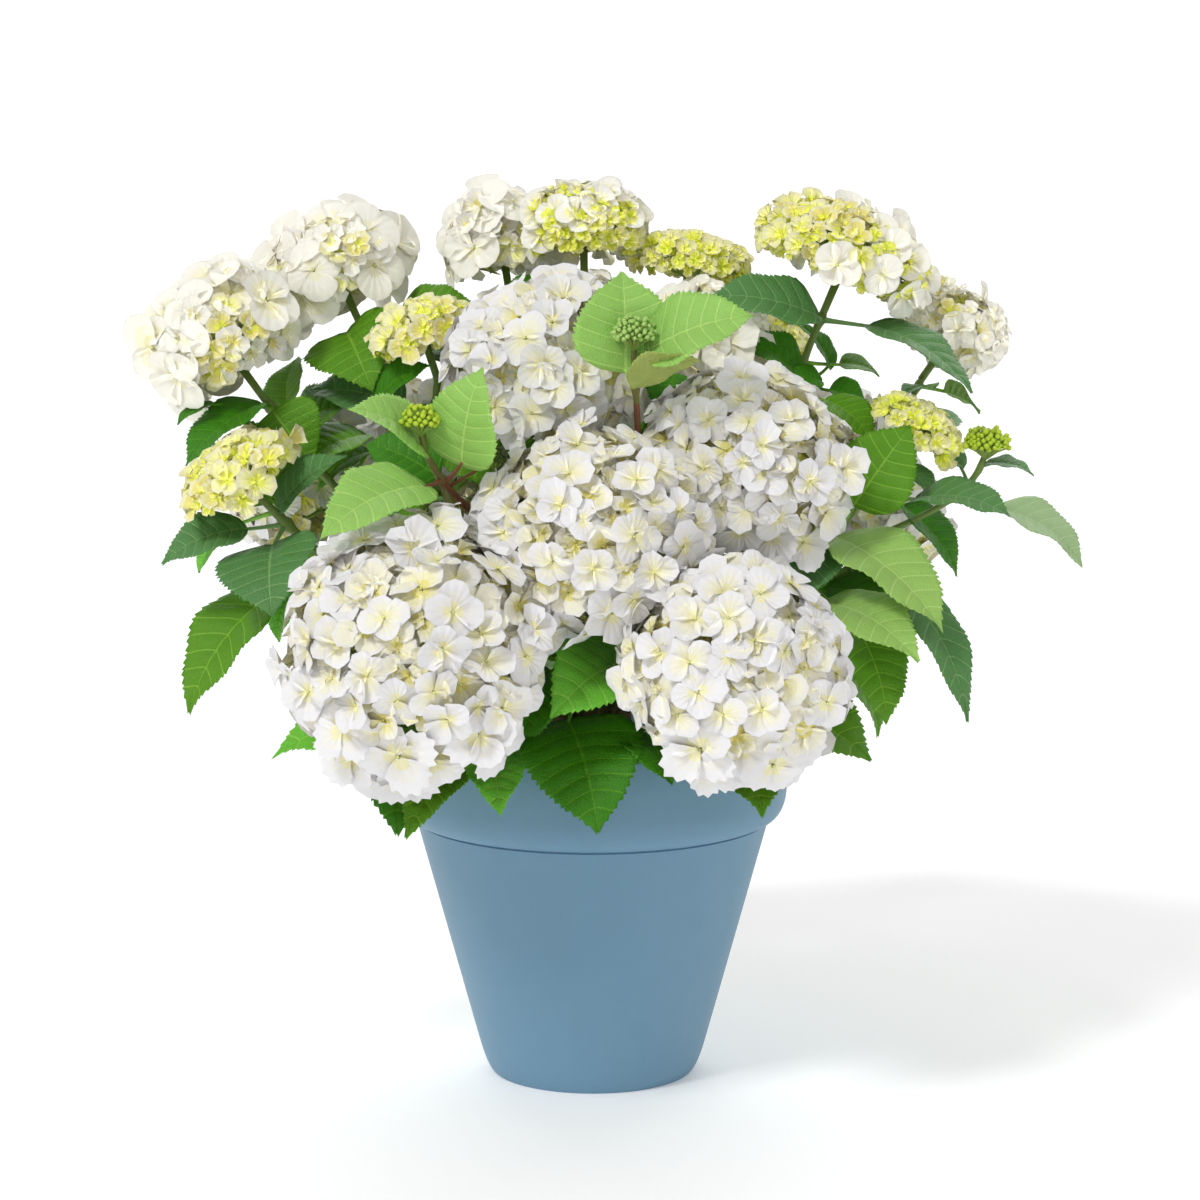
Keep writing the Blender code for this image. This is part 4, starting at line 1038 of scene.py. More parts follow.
def head_axis(head: Head) -> Vector:
    """Return the way a flower head faces."""
    return (Vector(head.centre) - LEAN_POINT).normalized()


def head_joint(head: Head) -> Vector:
    """Return the point where a flower head's stalk meets its twig."""
    return Vector(head.centre) - head_axis(head) * (head.height + head.stalk)


class Limbs:
    """The centre lines of one cane and its shoot, coarse as in the solids, and fine."""

    def __init__(self, shoot: Shoot) -> None:
        """Lay out a shoot.

        Args:
            shoot: the shoot's table entry.
        """
        self.shoot = shoot
        self.heads = [head for head in HEADS if head.shoot == shoot.name]
        self.coarse, self.fine = [], []
        main = next(head for head in self.heads if head.fork == 0.0)
        along = direction(*shoot.collar)
        collar_end = STUMP_CENTRE + along * COLLAR_REACH
        tip = Vector(shoot.cane_tip)
        goal = head_joint(main)
        onward = ((goal - tip).normalized() + UP * CANE_RISE).normalized()
        socket = collar_end - along * COLLAR_SOCKET
        self.cane = smooth_path([socket, collar_end, tip], along, onward, 2 * FINE_STEPS)
        foot = tip + onward * GAP
        axis = head_axis(main)
        stem = joint_run(smooth_path([foot, goal], onward, axis, LIMB_STEPS), onward, axis)
        self.coarse.append(stem)
        self.fine.append(smooth_path([foot, goal], onward, axis, FINE_STEPS))
        for head in self.heads:
            if head.fork > 0.0:
                self.branch(stem, head.fork, head.bend, head_joint(head), head_axis(head))
        for bud in BUDS:
            if bud.shoot == shoot.name:
                self.branch(stem, bud.fork, bud.bend, Vector(bud.centre), BUD_FACING.normalized())

    def branch(self, stem: list, fork: float, bend: tuple, goal: Vector, into: Vector) -> None:
        """Add a twig.

        Args:
            stem: the coarse stem that it leaves.
            fork: where, as a share of the stem's points.
            bend: a point that it passes through, or none.
            goal: where it ends.
            into: the way it arrives there.
        """
        index = max(1, round(fork * (len(stem) - 1)))
        root = stem[index]
        along = (stem[index] - stem[index - 1]).normalized()
        points = [root] + ([Vector(bend)] if bend else []) + [goal]
        leave = (along + (points[1] - root).normalized()).normalized()
        self.coarse.append(joint_run(smooth_path(points, leave, into, LIMB_STEPS), None, into))
        points[0] = self.nearest(root)
        self.fine.append(smooth_path(points, leave, into, FINE_STEPS))

    def nearest(self, place: Vector) -> Vector:
        """Find the point of the fine stems nearest to a place.

        Args:
            place: the place.

        Returns:
            The point.
        """
        best, found = 1.0, place
        for stem in self.fine:
            for before, after in zip(stem, stem[1:]):
                span = after - before
                share = (place - before).dot(span) / max(span.length_squared, TINY)
                share = min(1.0, max(0.0, share))
                point = before + span * share
                if (point - place).length < best:
                    best, found = (point - place).length, point
        return found

    def root_for(self, base: Vector, tip: Vector) -> Vector:
        """Find the point on the coarse stems from which a leaf's stalk best reaches its base.

        Args:
            base: the blade's foot.
            tip: the blade's tip.

        Returns:
            The point.
        """
        aim = base - (tip - base) * ROOT_BACK - UP * ROOT_DROP
        best, root = 1.0, None
        for stem in self.coarse:
            for before, after in zip(stem[1:-2], stem[2:-1]):
                for share in ROOT_SHARES:
                    point = before.lerp(after, share)
                    if (point - aim).length < best:
                        best, root = (point - aim).length, point
        return root

    def rule_leaves(self, draw: random.Random) -> list[tuple]:
        """Return the leaves in opposite pairs along the twigs, each pair a quarter turn on.

        Args:
            draw: the rule's random draws.

        Returns:
            Root, base, tip and width of each.
        """
        found = []
        for stem in self.coarse[:len(self.heads)]:
            turn = draw.uniform(0.0, math.pi)
            for pair in range(self.shoot.pairs):
                place = (pair + 0.6) / self.shoot.pairs * (len(stem) - 2)
                index = min(int(place), len(stem) - 2)
                root = stem[index].lerp(stem[index + 1], place - index)
                along = (stem[index + 1] - stem[index]).normalized()
                across = along.orthogonal().normalized()
                across.rotate(Matrix.Rotation(turn + pair * math.pi / 2.0, 3, along))
                for sign in (-1.0, 1.0):
                    reach = across * sign
                    stalk = (reach + along * 0.7).normalized() * draw.uniform(*RULE_STALK)
                    length = self.shoot.leaf * draw.uniform(*RULE_SPREAD)
                    droop = Vector((0.0, 0.0, draw.uniform(*RULE_DROOP)))
                    base = root + stalk
                    tip = base + (reach + along * 0.25 + droop).normalized() * length
                    found.append((root, base, tip, length * draw.uniform(*RULE_WIDTH)))
        return found


@dataclass
class Spot:
    """A leaf in its place, with its root on a stem."""

    shoot: str
    root: Vector
    base: Vector
    tip: Vector
    width: float
    tint: Tint
    facing: tuple = ()


class Plant:
    """The whole plant's centre lines, and the leaves that found room on it."""

    def __init__(self) -> None:
        """Lay out the limbs and leaves."""
        self.limbs = {shoot.name: Limbs(shoot) for shoot in SHOOTS}
        self.corners = {name: self.tree_of("shoot_" + name) for name in self.limbs}
        self.spots: list[Spot] = []
        for shoot, leaves in LEAVES.items():
            for leaf in leaves:
                self.offer(self.placed(Leaf(shoot, *leaf)))
        self.ring_leaves()
        for index, (name, limbs) in enumerate(self.limbs.items()):
            draw = random.Random(SEED * 7 + index)
            choose = random.Random(SEED * 13 + index)
            for root, base, tip, width in limbs.rule_leaves(draw):
                tint = choose.choice((Tint.MID, Tint.DEEP, Tint.MID, Tint.BLUE))
                self.offer(Spot(name, root, base, tip, width, tint))
        self.spots += [self.placed(leaf) for leaf in BRACTS]

    def placed(self, leaf: Leaf) -> Spot:
        """Find a table leaf's root on its shoot.

        Args:
            leaf: the leaf's table entry.

        Returns:
            The leaf in its place.
        """
        base, tip = Vector(leaf.base), Vector(leaf.tip)
        root = self.limbs[leaf.shoot].root_for(base, tip)
        return Spot(leaf.shoot, root, base, tip, leaf.width, leaf.tint, leaf.facing)

    @staticmethod
    def tree_of(node: str) -> KDTree:
        """Make a search tree of a solid's corners.

        Args:
            node: the solid's name.

        Returns:
            The tree.
        """
        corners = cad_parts[node].data.vertices
        tree = KDTree(len(corners))
        for corner in corners:
            tree.insert(corner.co, corner.index)
        tree.balance()
        return tree

    def offer(self, spot: Spot) -> None:
        """Keep a leaf where the solid of its shoot has it."""
        if self.corners[spot.shoot].find(spot.tip)[2] < SAME_PLACE:
            self.spots.append(spot)

    def ring_leaves(self) -> None:
        """Offer the leaves that stand in rings round the sides and back."""
        choose = random.Random(SEED * 17)
        for first, last, step, base_radius, base_height, tip_radius, tip_height, width in RINGS:
            for azimuth in range(first, last + 1, step):
                outward = direction(azimuth, 0.0)
                side = outward.x ** 2
                base = outward * base_radius + UP * base_height
                tip = outward * (tip_radius - SIDE_PULL * side)
                tip.z = tip_height + SIDE_LIFT * side
                roots = [(limbs.root_for(base, tip), name) for name, limbs in self.limbs.items()]
                root, name = min(roots, key=lambda pair: (pair[0] - base).length)
                tint = choose.choice((Tint.DEEP, Tint.MID, Tint.MID, Tint.BLUE, Tint.DEEP))
                self.offer(Spot(name, root, base, tip, width, tint))


# ----- Leaves and stems -----
@dataclass
class Maker:
    """What every maker of pieces works from."""

    plant: Plant
    palette: Palette


@dataclass
class Foliage(Maker):
    """The leaves: quilted, toothed blades with veins, on stalks."""

    veins: int = 7
    first_vein: float = 0.055       # places along the blade are shares of its length
    vein_step: float = 0.128
    vein_half: float = 0.0052
    fills: tuple = (0.25, 0.5, 0.75)
    ends: tuple = (0.014, 0.992)
    columns: tuple = (0.028, 0.26, 0.48, 0.68, 0.85, 1.0)
    margin: float = 0.99            # columns past this are the margin
    fullness: float = 1.12          # of the blade, against the width of its solid
    forward: float = 0.66           # how far the side veins bend towards the tip
    quilt: float = 0.016            # rise between the veins, share of the leaf's length
    tooth: float = 0.030            # depth of the margin's teeth, share of the half width
    tooth_lean: float = 0.35
    groove: float = 0.0012          # of the midrib at the blade's foot
    folds: tuple = (0.6, 1.15)      # ranges that leaves are drawn from
    waves: tuple = (0.010, 0.026)
    wave_turns: tuple = (1.6, 2.8)
    twist: float = 0.30
    nod: float = 0.05
    sway: float = 0.035
    thickness: float = 0.00045
    rib: float = 0.0007             # how far the veins stand out underneath
    stalk_radius: tuple = (0.0016, 0.0011)
    stalk_steps: int = 9
    stalk_sides: int = 7
    vein_rows: set = field(default_factory=set)

    def __post_init__(self) -> None:
        """Work out the rows and columns of a blade."""
        rows = [self.ends[0]]
        for vein in range(self.veins):
            middle = self.first_vein + vein * self.vein_step
            self.vein_rows.add(len(rows))
            rows += [middle - self.vein_half, middle + self.vein_half]
            rows += [middle + fill * self.vein_step for fill in self.fills]
        self.row_places = rows + [self.ends[1]]
        self.across = np.array([-x for x in self.columns[::-1]] + list(self.columns))
        self.make_template()

    def make_template(self) -> None:
        """Lay out the blade's grid, its underside and its rim, and say which faces are veins."""
        wide, high = len(self.across), len(self.row_places)
        points, faces = grid_shape(wide - 1, high - 1)
        column = np.rint((points[:, 0] + 1.0) / 2.0 * (wide - 1)).astype(int)
        row = np.rint((points[:, 1] + 1.0) / 2.0 * (high - 1)).astype(int)
        self.q = self.across[column]
        self.a = np.array(self.row_places)[row]
        self.row, self.column = row, column
        count = len(points)
        number = {(int(i), int(j)): k for k, (i, j) in enumerate(zip(column, row))}
        middle = wide // 2 - 1
        kinds = []
        for face in faces:
            low_row = min(row[corner] for corner in face)
            low_column = min(column[corner] for corner in face)
            kinds.append("vein" if low_row in self.vein_rows or low_column == middle else "blade")
        rim = [(i, 0) for i in range(wide)] + [(wide - 1, j) for j in range(1, high)]
        rim += [(i, high - 1) for i in range(wide - 2, -1, -1)]
        rim += [(0, j) for j in range(high - 2, 0, -1)]
        loop = [number[place] for place in rim]
        walls = [[loop[k - 1], loop[k - 1] + count, loop[k] + count, loop[k]] for k in range(len(loop))]
        under = [[corner + count for corner in face[::-1]] for face in faces]
        self.faces = faces + under + walls
        self.kinds = kinds + ["under"] * len(under) + ["blade"] * len(walls)
        veined = np.isin(row, list(self.vein_rows)) | np.isin(row - 1, list(self.vein_rows))
        self.veined = veined | (np.abs(self.q) <= self.columns[0])

    @staticmethod
    def outline(share: Array) -> Array:
        """Find a blade's half width: broad near the foot, drawn out to a tip.

        Args:
            share: places along the blade.

        Returns:
            The half width there, up to 1.
        """
        wide = np.clip(np.sin(math.pi * np.clip(share, 0.0, 1.0) ** 0.66), 0.0, 1.0) ** 0.78
        drawn = np.clip((share - 0.80) / 0.20, 0.0, 1.0)
        return wide * (1.0 - 0.35 * drawn)

    def blade(self, spot: Spot, draw: random.Random) -> Array:
        """Shape one leaf.

        Args:
            spot: the leaf's place.
            draw: random draws for its waves.

        Returns:
            The corners of its upper and then its under side.
        """
        chord = np.array(spot.tip - spot.base)
        length = float(np.linalg.norm(chord))
        along = chord / length
        facing = np.array(spot.facing or leaf_facing(spot.base, spot.tip))
        side = unit(np.cross(along, facing))
        face = np.cross(side, along)
        half = spot.width / 2.0 * self.fullness
        q, sign = np.abs(self.q), np.sign(self.q)
        on_margin = q > self.margin
        vein = self.a ** self.forward
        teeth = np.where(self.row % 2 == 0, 1.0, -1.0) * self.tooth * np.where(on_margin, 1.0, 0.0)
        x = sign * q * half * self.outline(vein) * (1.0 + teeth)
        y = self.a + (vein - self.a) * q ** 1.3
        y = y + np.where(on_margin, self.tooth_lean, 0.0) * teeth
        gap = (self.a - self.first_vein) / self.vein_step
        hump = np.abs(np.sin(math.pi * gap)) ** 0.7
        hump = np.where((gap < 0.0) | (gap > self.veins), 0.4 * hump, hump)
        z = self.quilt * length * hump * (1.0 - q ** 3) * (0.35 + 0.65 * np.minimum(1.0, q * 5.0))
        z -= np.where(q <= self.columns[0], self.groove * (1.0 - self.a), 0.0)
        z += LEAF_FOLD * draw.uniform(*self.folds) * np.abs(x) * (0.6 + 0.4 * q)
        z += LEAF_BOW * length * 4.0 * y * (1.0 - y)
        for edge in (-1.0, 1.0):
            wave = draw.uniform(*self.waves) * length
            phase, turns = draw.uniform(0.0, 6.3), draw.uniform(*self.wave_turns)
            ripple = wave * q ** 2.2 * np.sin(phase + FULL_TURN * turns * y)
            z += np.where(sign == edge, ripple, 0.0)
        z += draw.uniform(-self.twist, self.twist) * x * y
        z -= draw.uniform(0.0, self.nod) * length * np.clip((y - 0.6) / 0.4, 0.0, 1.0) ** 2
        x = x + draw.uniform(-self.sway, self.sway) * length * np.sin(math.pi * y)
        top = np.array(spot.base) + along * (y * length)[:, None]
        top = top + side * x[:, None] + face * z[:, None]
        depth = self.thickness + np.where(self.veined, self.rib, 0.0) * (1.0 - 0.6 * q)
        depth = depth * np.where(on_margin, 0.5, 1.0)
        return np.concatenate((top, top - face * depth[:, None]))

    def stalk(self, spot: Spot, limbs: Limbs) -> Shape:
        """Shape a leaf's stalk, bowed from its stem to the blade's foot.

        Args:
            spot: the leaf's place.
            limbs: the shoot that it grows from.

        Returns:
            The stalk's points and faces.
        """
        root = limbs.nearest(spot.root)
        along = (spot.tip - spot.base).normalized()
        reach = spot.base - root
        bend = root + reach * 0.55 - UP * (0.05 * reach.length) - along * 0.06 * reach.length
        end = spot.base + along * 0.004
        share = np.linspace(0.0, 1.0, self.stalk_steps)
        path = [root * (1 - s) ** 2 + bend * (2 * s * (1 - s)) + end * s ** 2 for s in share.tolist()]
        size = 0.75 + 0.35 * min(1.0, spot.width / 0.05)
        radii = taper(self.stalk_radius, share) + 0.0008 * (1 - share) ** 6
        return tube_shape(np.array(path), radii * size, self.stalk_sides)

    def build(self) -> None:
        """Build each shoot's leaves as a piece."""
        for index, (name, limbs) in enumerate(self.plant.limbs.items()):
            batch = Batch("leaves_" + name)
            draw = random.Random(SEED * 31 + index)
            for spot in self.plant.spots:
                if spot.shoot != name:
                    continue
                tint = spot.tint.value
                points = self.blade(spot, draw)
                places = np.stack((self.q * 0.5 + 0.5, self.a), axis=1)
                batch.add(points, self.faces, [f"{kind}_{tint}" for kind in self.kinds],
                          np.concatenate((places, places)))
                points, faces = self.stalk(spot, limbs)
                red = name == "centre" and spot.base.x < RED_STALKS
                batch.add(points, faces, "stem_red" if red else f"vein_{tint}")
            if batch.count:
                settle(batch.build(self.palette), "leaf", "shoot_" + name)


def leaf_facing(base: Vector, tip: Vector) -> Vector:
    """Find the way a leaf's upper face looks: up, and away from the middle of the plant.

    Args:
        base: the blade's foot.
        tip: the blade's tip.

    Returns:
        The direction.
    """
    middle = (base + tip) / 2.0
    pull, back, front = LEAF_HEART
    heart = Vector((middle.x * pull, back if middle.y < 0.06 else front, middle.z))
    outward = (middle - heart).normalized()
    return (UP * LEAF_FACING[0] + outward * LEAF_FACING[1]).normalized()


@dataclass
class Stems(Maker):
    """The green shoots: round stems, swollen where leaves and twigs leave them, and their buds."""

    radius: tuple = (0.0031, 0.0023)
    twig: tuple = (0.0024, 0.0019)
    shaded_bud_stalk: float = 0.0011
    sides: int = 10
    least: int = 12                 # rings of a stem
    spacing: float = 0.003
    swell: float = 0.28
    swell_reach: float = 0.0045
    red_share: float = 0.75         # of a red twig, up from its foot
    olive_share: float = 0.3        # of a green one
    dome: float = 1.25              # how much of a bud the grains cover
    packing: float = 2.6            # how many grains there are, by the bud's and a grain's area
    grain_stalk: tuple = (0.0009, 0.0006, 0.0005)

    def build(self) -> None:
        """Build each shoot's stems and buds as a piece."""
        for index, (name, limbs) in enumerate(self.plant.limbs.items()):
            batch = Batch("stems_" + name)
            draw = random.Random(SEED * 37 + index)
            roots = [limbs.nearest(spot.root) for spot in self.plant.spots if spot.shoot == name]
            roots += [stem[0] for stem in limbs.fine[1:]]
            for number, stem in enumerate(limbs.fine):
                ends = self.radius if number == 0 else self.twig
                self.stem(batch, stem, roots, ends, name == "centre" and number > 0)
            for bud in BUDS + SHADED_BUDS:
                if bud.shoot != name:
                    continue
                # a bud darkened with painted shade gets its own stalk from the nearest stem
                if bud in SHADED_BUDS:
                    path = np.array([limbs.nearest(Vector(bud.centre)), Vector(bud.centre)])
                    points, faces = tube_shape(path, np.full(2, self.shaded_bud_stalk), 6)
                    batch.add(points, faces, "stem_red")
                self.bud(batch, bud, draw)
            settle(batch.build(self.palette), "leaf", "shoot_" + name)

    def stem(self, batch: Batch, stem: list, roots: list, ends: tuple, red: bool) -> None:
        """Add one stem, paler towards its tip.

        Args:
            batch: the shoot's piece.
            stem: its centre line.
            roots: where leaves and twigs leave it.
            ends: its radius at its foot and tip.
            red: whether it is red instead of green.
        """
        path, fine = resample(stem, self.least, self.spacing)
        radii = taper(ends, fine / fine[-1])
        for root in roots:
            near = np.linalg.norm(path - np.array(root), axis=1)
            radii = radii * (1.0 + self.swell * np.exp(-(near / self.swell_reach) ** 2))
        points, faces = tube_shape(path, radii, self.sides)
        low, high, change = (("stem_red", "stem_olive", self.red_share) if red
                             else ("stem_olive", "stem_green", self.olive_share))
        batch.add(points, faces, [low if min(face) // self.sides / len(path) < change else high
                                  for face in faces])

    def bud(self, batch: Batch, bud: Bud, draw: random.Random) -> None:
        """Add a dome of grains on short stalks.

        Args:
            batch: the shoot's piece.
            bud: the bud's table entry.
            draw: random draws for the grains.
        """
        count = round(self.packing * bud.radius * bud.radius / (bud.grain / 2.0) ** 2 / 2.2)
        bead, faces = bead_shape()
        centre = np.array(bud.centre)
        foot = centre - np.array([0.0, 0.0, bud.height * 0.8])
        for grain in range(count):
            way = dome_way(grain, count, self.dome)
            reach = np.array([bud.radius, bud.radius, bud.height]) * draw.uniform(0.68, 1.0)
            place = centre + way * reach
            size = bud.grain * 0.5 * draw.uniform(0.75, 1.15)
            stretch = 1.0 + 0.25 * np.abs(bead @ way)[:, None]
            batch.add(place + bead * size * stretch, faces, bud.tone)
            path = np.array([foot, foot + (place - foot) * 0.5 + np.array([0.0, 0.0, 0.001]), place])
            batch.add(*tube_shape(path, np.array(self.grain_stalk), 4), "stem_young")


# ----- Flower heads -----
@dataclass(frozen=True)
class Kind:
    """A kind of floret and how it is dealt out over a head."""

    size: float                     # from tip to tip
    tones: tuple                    # (tones from the throat to the margin, share) pairs
    cup: float = 0.14               # how far the sepals rise towards their tips
    spread: float = 62.0            # half angle of a sepal's fan, degrees
    shoulder: float = 0.45          # lower is broader
    tooth: float = 0.045            # depth of the margin's teeth, share of the sepal's length
    ruffle: float = 0.075           # height of its waves
    reflex: float = 0.10            # how far its tip turns back
    crowd: float = 0.47             # spacing of the florets, share of their size
    tilt: float = 0.52              # how far the florets turn this way and that
    lean: tuple = (0.0, 0.0, 0.12)  # the way that all of them turn a little
    point: float = 0.05             # how far the sepals' tips stand out
    depth: float = 0.95             # where the florets sit, share of the head's radius


@dataclass(frozen=True)
class Bloom:
    """What a flower head carries: its main florets, those of its heart, and those beneath."""

    main: Kind
    under: Kind
    heart: Kind | None = None
    aim: tuple = (0.0, -1.0, 0.0)   # the way the heart looks
    angle: float = 0.0              # how far the heart spreads, degrees
    limit: float = 118.0            # florets cover the head down to here
    stretch: tuple = (1.0, 1.0)     # of the head's breadth and height
    band: tuple = (-1.0, 1.0)       # how far below and above the centre the florets reach
    stars: tuple = ()               # florets of their own, to the right of the centre and above it
    slot: str = "white"
    rays: str = "stem_young"        # finish of the rays that carry the florets


# Tones from a sepal's throat to its margin; the creamier throats are partly the sepals' own colour,
# partly painted warm shade where the sepals cup and overlap
PURE = ("cream", "pearl", "white", "white")
WHITE = ("cream", "ivory", "pearl", "white")
SOFT = ("butter", "ivory", "ivory", "pearl")
WARM = ("butter", "cream", "ivory", "pearl")
# SNOW and MILK end in the brightened snow tone, painted light for the heads behind and above the front
# ones
SNOW = ("milk", "snow", "snow", "snow")
MILK = ("cream", "milk", "snow", "snow")
HONEY = ("butter", "cream", "cream", "ivory")
YOLK = ("lime", "pale_lime", "butter", "cream")
GREENISH = ("lime", "pale_lime", "pale_lime", "cream")
LIMY = ("green", "lime", "lime", "pale_lime")
ACID = ("green", "green", "lime", "lime")

PALE_TONES = 2              # of a kind's tones, how many belong to its palest florets
STAR_ROOM = 0.62            # how near other florets come to a star, share of its size

# Ways that florets lean
FRONT = (0.0, -0.40, 0.15)
LIGHT = (0.0, -0.22, 0.12)

BROAD = Kind(0.035, ((PURE, 0.34), (WHITE, 0.28), (SOFT, 0.20), (WARM, 0.18)), tooth=0.05,
             point=0.10, lean=LIGHT)
BROAD_FINE = replace(BROAD, size=0.031)
MELLOW = Kind(0.032, ((PURE, 0.22), (WHITE, 0.24), (SOFT, 0.24), (WARM, 0.22), (HONEY, 0.08)),
              cup=0.2, tooth=0.05, point=0.08, lean=LIGHT)
SKIRT = Kind(0.047, ((PURE, 0.85), (WHITE, 0.15)), cup=0.10, tooth=0.075, ruffle=0.09, tilt=0.30,
             crowd=0.50, lean=(0.0, -0.60, 0.35), point=0.08)
# The florets beneath are cream and yellow: partly their own colour, partly painted warm shade in the
# gaps between the florets above
BROAD_UNDER = Kind(0.0255, ((WARM, 0.25), (HONEY, 0.45), (YOLK, 0.30)), cup=0.30, depth=0.85,
                   crowd=0.56, tooth=0.0)
ROUND = Kind(0.046, ((SNOW, 0.52), (MILK, 0.48)), cup=0.02, shoulder=0.30, tooth=0.0, ruffle=0.05,
             reflex=0.08, spread=66.0, crowd=0.46, tilt=0.36, depth=0.90, lean=FRONT)
# Warmed as painted shade in the gaps, beside the florets' own cream and green
ROUND_UNDER = Kind(0.0255, ((MILK, 0.35), (WARM, 0.35), (GREENISH, 0.30)), cup=0.2, depth=0.86,
                   crowd=0.56, tooth=0.0, shoulder=0.3, lean=FRONT)
HEART = Kind(0.025, ((YOLK, 0.45), (GREENISH, 0.25), (WARM, 0.30)), cup=0.35, depth=0.88,
             tooth=0.0, shoulder=0.3, crowd=0.55, lean=FRONT)
LIME_CUP = Kind(0.0145, ((LIMY, 0.35), (GREENISH, 0.60), (ACID, 0.05)), cup=0.55, shoulder=0.3,
                tooth=0.0, ruffle=0.03, reflex=0.08, crowd=0.62, tilt=0.35, lean=(0.0, -0.55, 0.12))
LIME_UNDER = Kind(0.012, ((LIMY, 0.8), (ACID, 0.2)), cup=0.4, depth=0.92, crowd=0.62, tooth=0.0,
                  lean=(0.0, -0.50, 0.10))
PALE_CUP = Kind(0.0245, ((GREENISH, 0.50), (YOLK, 0.42), (LIMY, 0.08)), cup=0.40, shoulder=0.32,
                tooth=0.0, reflex=0.2, ruffle=0.11, crowd=0.50, tilt=0.5, lean=(0.0, -0.30, 0.12))
CREAM_CUP = Kind(0.030, ((MILK, 0.50), (WARM, 0.40), (YOLK, 0.10)), cup=0.25, shoulder=0.32,
                 tooth=0.0, reflex=0.08, depth=0.90, lean=(0.0, -0.35, 0.15))
RIM_CUP = Kind(0.0195, ((GREENISH, 0.42), (YOLK, 0.43), (LIMY, 0.15)), cup=0.55, shoulder=0.3,
               tooth=0.0, reflex=0.2, crowd=0.58, lean=FRONT)
RIM = Kind(0.031, ((SNOW, 0.3), (MILK, 0.5), (WARM, 0.2)), cup=0.12, shoulder=0.3, tooth=0.0,
           spread=66.0, reflex=0.05, depth=0.92, lean=(0.0, -0.45, 0.05))
STAR = Kind(0.033, ((SNOW, 0.9), (MILK, 0.1)), cup=0.06, spread=68.0, shoulder=0.28, tooth=0.0,
            ruffle=0.03, reflex=0.04, tilt=0.12, lean=(0.0, -0.2, 0.0))
SMALL_HEART = Kind(0.020, ((YOLK, 0.2), (WARM, 0.4), (MILK, 0.4)), cup=0.35, shoulder=0.3, tooth=0.0)

BLOOMS = {
    Flower.BROAD: Bloom(BROAD, BROAD_UNDER, SKIRT, (0.0, -0.30, -0.95), 50.0),
    Flower.BROAD_FINE: Bloom(
        BROAD_FINE, BROAD_UNDER, Kind(0.040, SKIRT.tones, cup=0.12, tooth=0.07, lean=SKIRT.lean),
        (0.1, -0.30, -0.95), 44.0),
    Flower.BROAD_SMALL: Bloom(Kind(0.032, BROAD.tones), BROAD_UNDER),
    Flower.MELLOW: Bloom(MELLOW, BROAD_UNDER, Kind(0.038, SKIRT.tones, cup=0.12),
                         (0.1, -0.30, -0.95), 48.0),
    Flower.ROUND: Bloom(ROUND, ROUND_UNDER, HEART, (0.20, -0.9, -0.05), 30.0),
    Flower.ROUND_FINE: Bloom(ROUND, ROUND_UNDER, HEART, (0.25, -0.8, 0.1), 24.0),
    Flower.INNER: Bloom(Kind(0.036, ((SNOW, 0.5), (MILK, 0.5)), cup=0.1, shoulder=0.3, lean=FRONT),
                        ROUND_UNDER),
    Flower.PALE: Bloom(PALE_CUP, LIME_UNDER, limit=112.0, slot="lime"),
    Flower.LOW: Bloom(PALE_CUP, LIME_UNDER, limit=108.0, stretch=(1.06, 0.85),
                      band=(-0.018, 0.020), slot="lime"),
    Flower.CUPS: Bloom(LIME_CUP, LIME_UNDER, limit=104.0, slot="lime"),
    Flower.CREST: Bloom(CREAM_CUP, LIME_UNDER, LIME_CUP, (0.10, -0.80, -0.50), 58.0, 112.0,
                        slot="lime", rays="stem_olive"),
    Flower.RIMMED: Bloom(RIM, LIME_UNDER, RIM_CUP, (-0.60, -0.40, 0.60), 64.0, 108.0,
                         stars=((-0.010, 0.000), (0.020, -0.007)), slot="lime"),
    Flower.RIMMED_SMALL: Bloom(
        Kind(0.027, RIM.tones, cup=0.14, shoulder=0.3, tooth=0.0, lean=FRONT), ROUND_UNDER,
        SMALL_HEART, (-0.2, -0.5, 0.75), 46.0),
}


class SepalGrid:
    """A sepal's corners: rays that fan out from its claw, in rows up to its margin."""

    def __init__(self, columns: int, rows: tuple) -> None:
        """Lay out the grid.

        Args:
            columns: faces across.
            rows: how far out each row of corners lies, share of the sepal's length.
        """
        count = len(rows) - 1
        points, self.faces = grid_shape(columns, count)
        self.u = points[:, 0]
        row = np.rint((points[:, 1] + 1.0) / 2.0 * count).astype(int)
        self.v = np.array(rows)[row]
        ray = np.rint((self.u + 1.0) * columns / 2.0)
        self.teeth = np.where(row == count, np.where(ray % 2 == 1, 1.0, -0.4), 0.0)
        lowest = [int(min(row[corner] for corner in face)) for face in self.faces]
        self.zone = [round(place * 3 / (count - 1)) for place in lowest]
        self.places = np.stack((self.u * 0.5 + 0.5, self.v), axis=1)


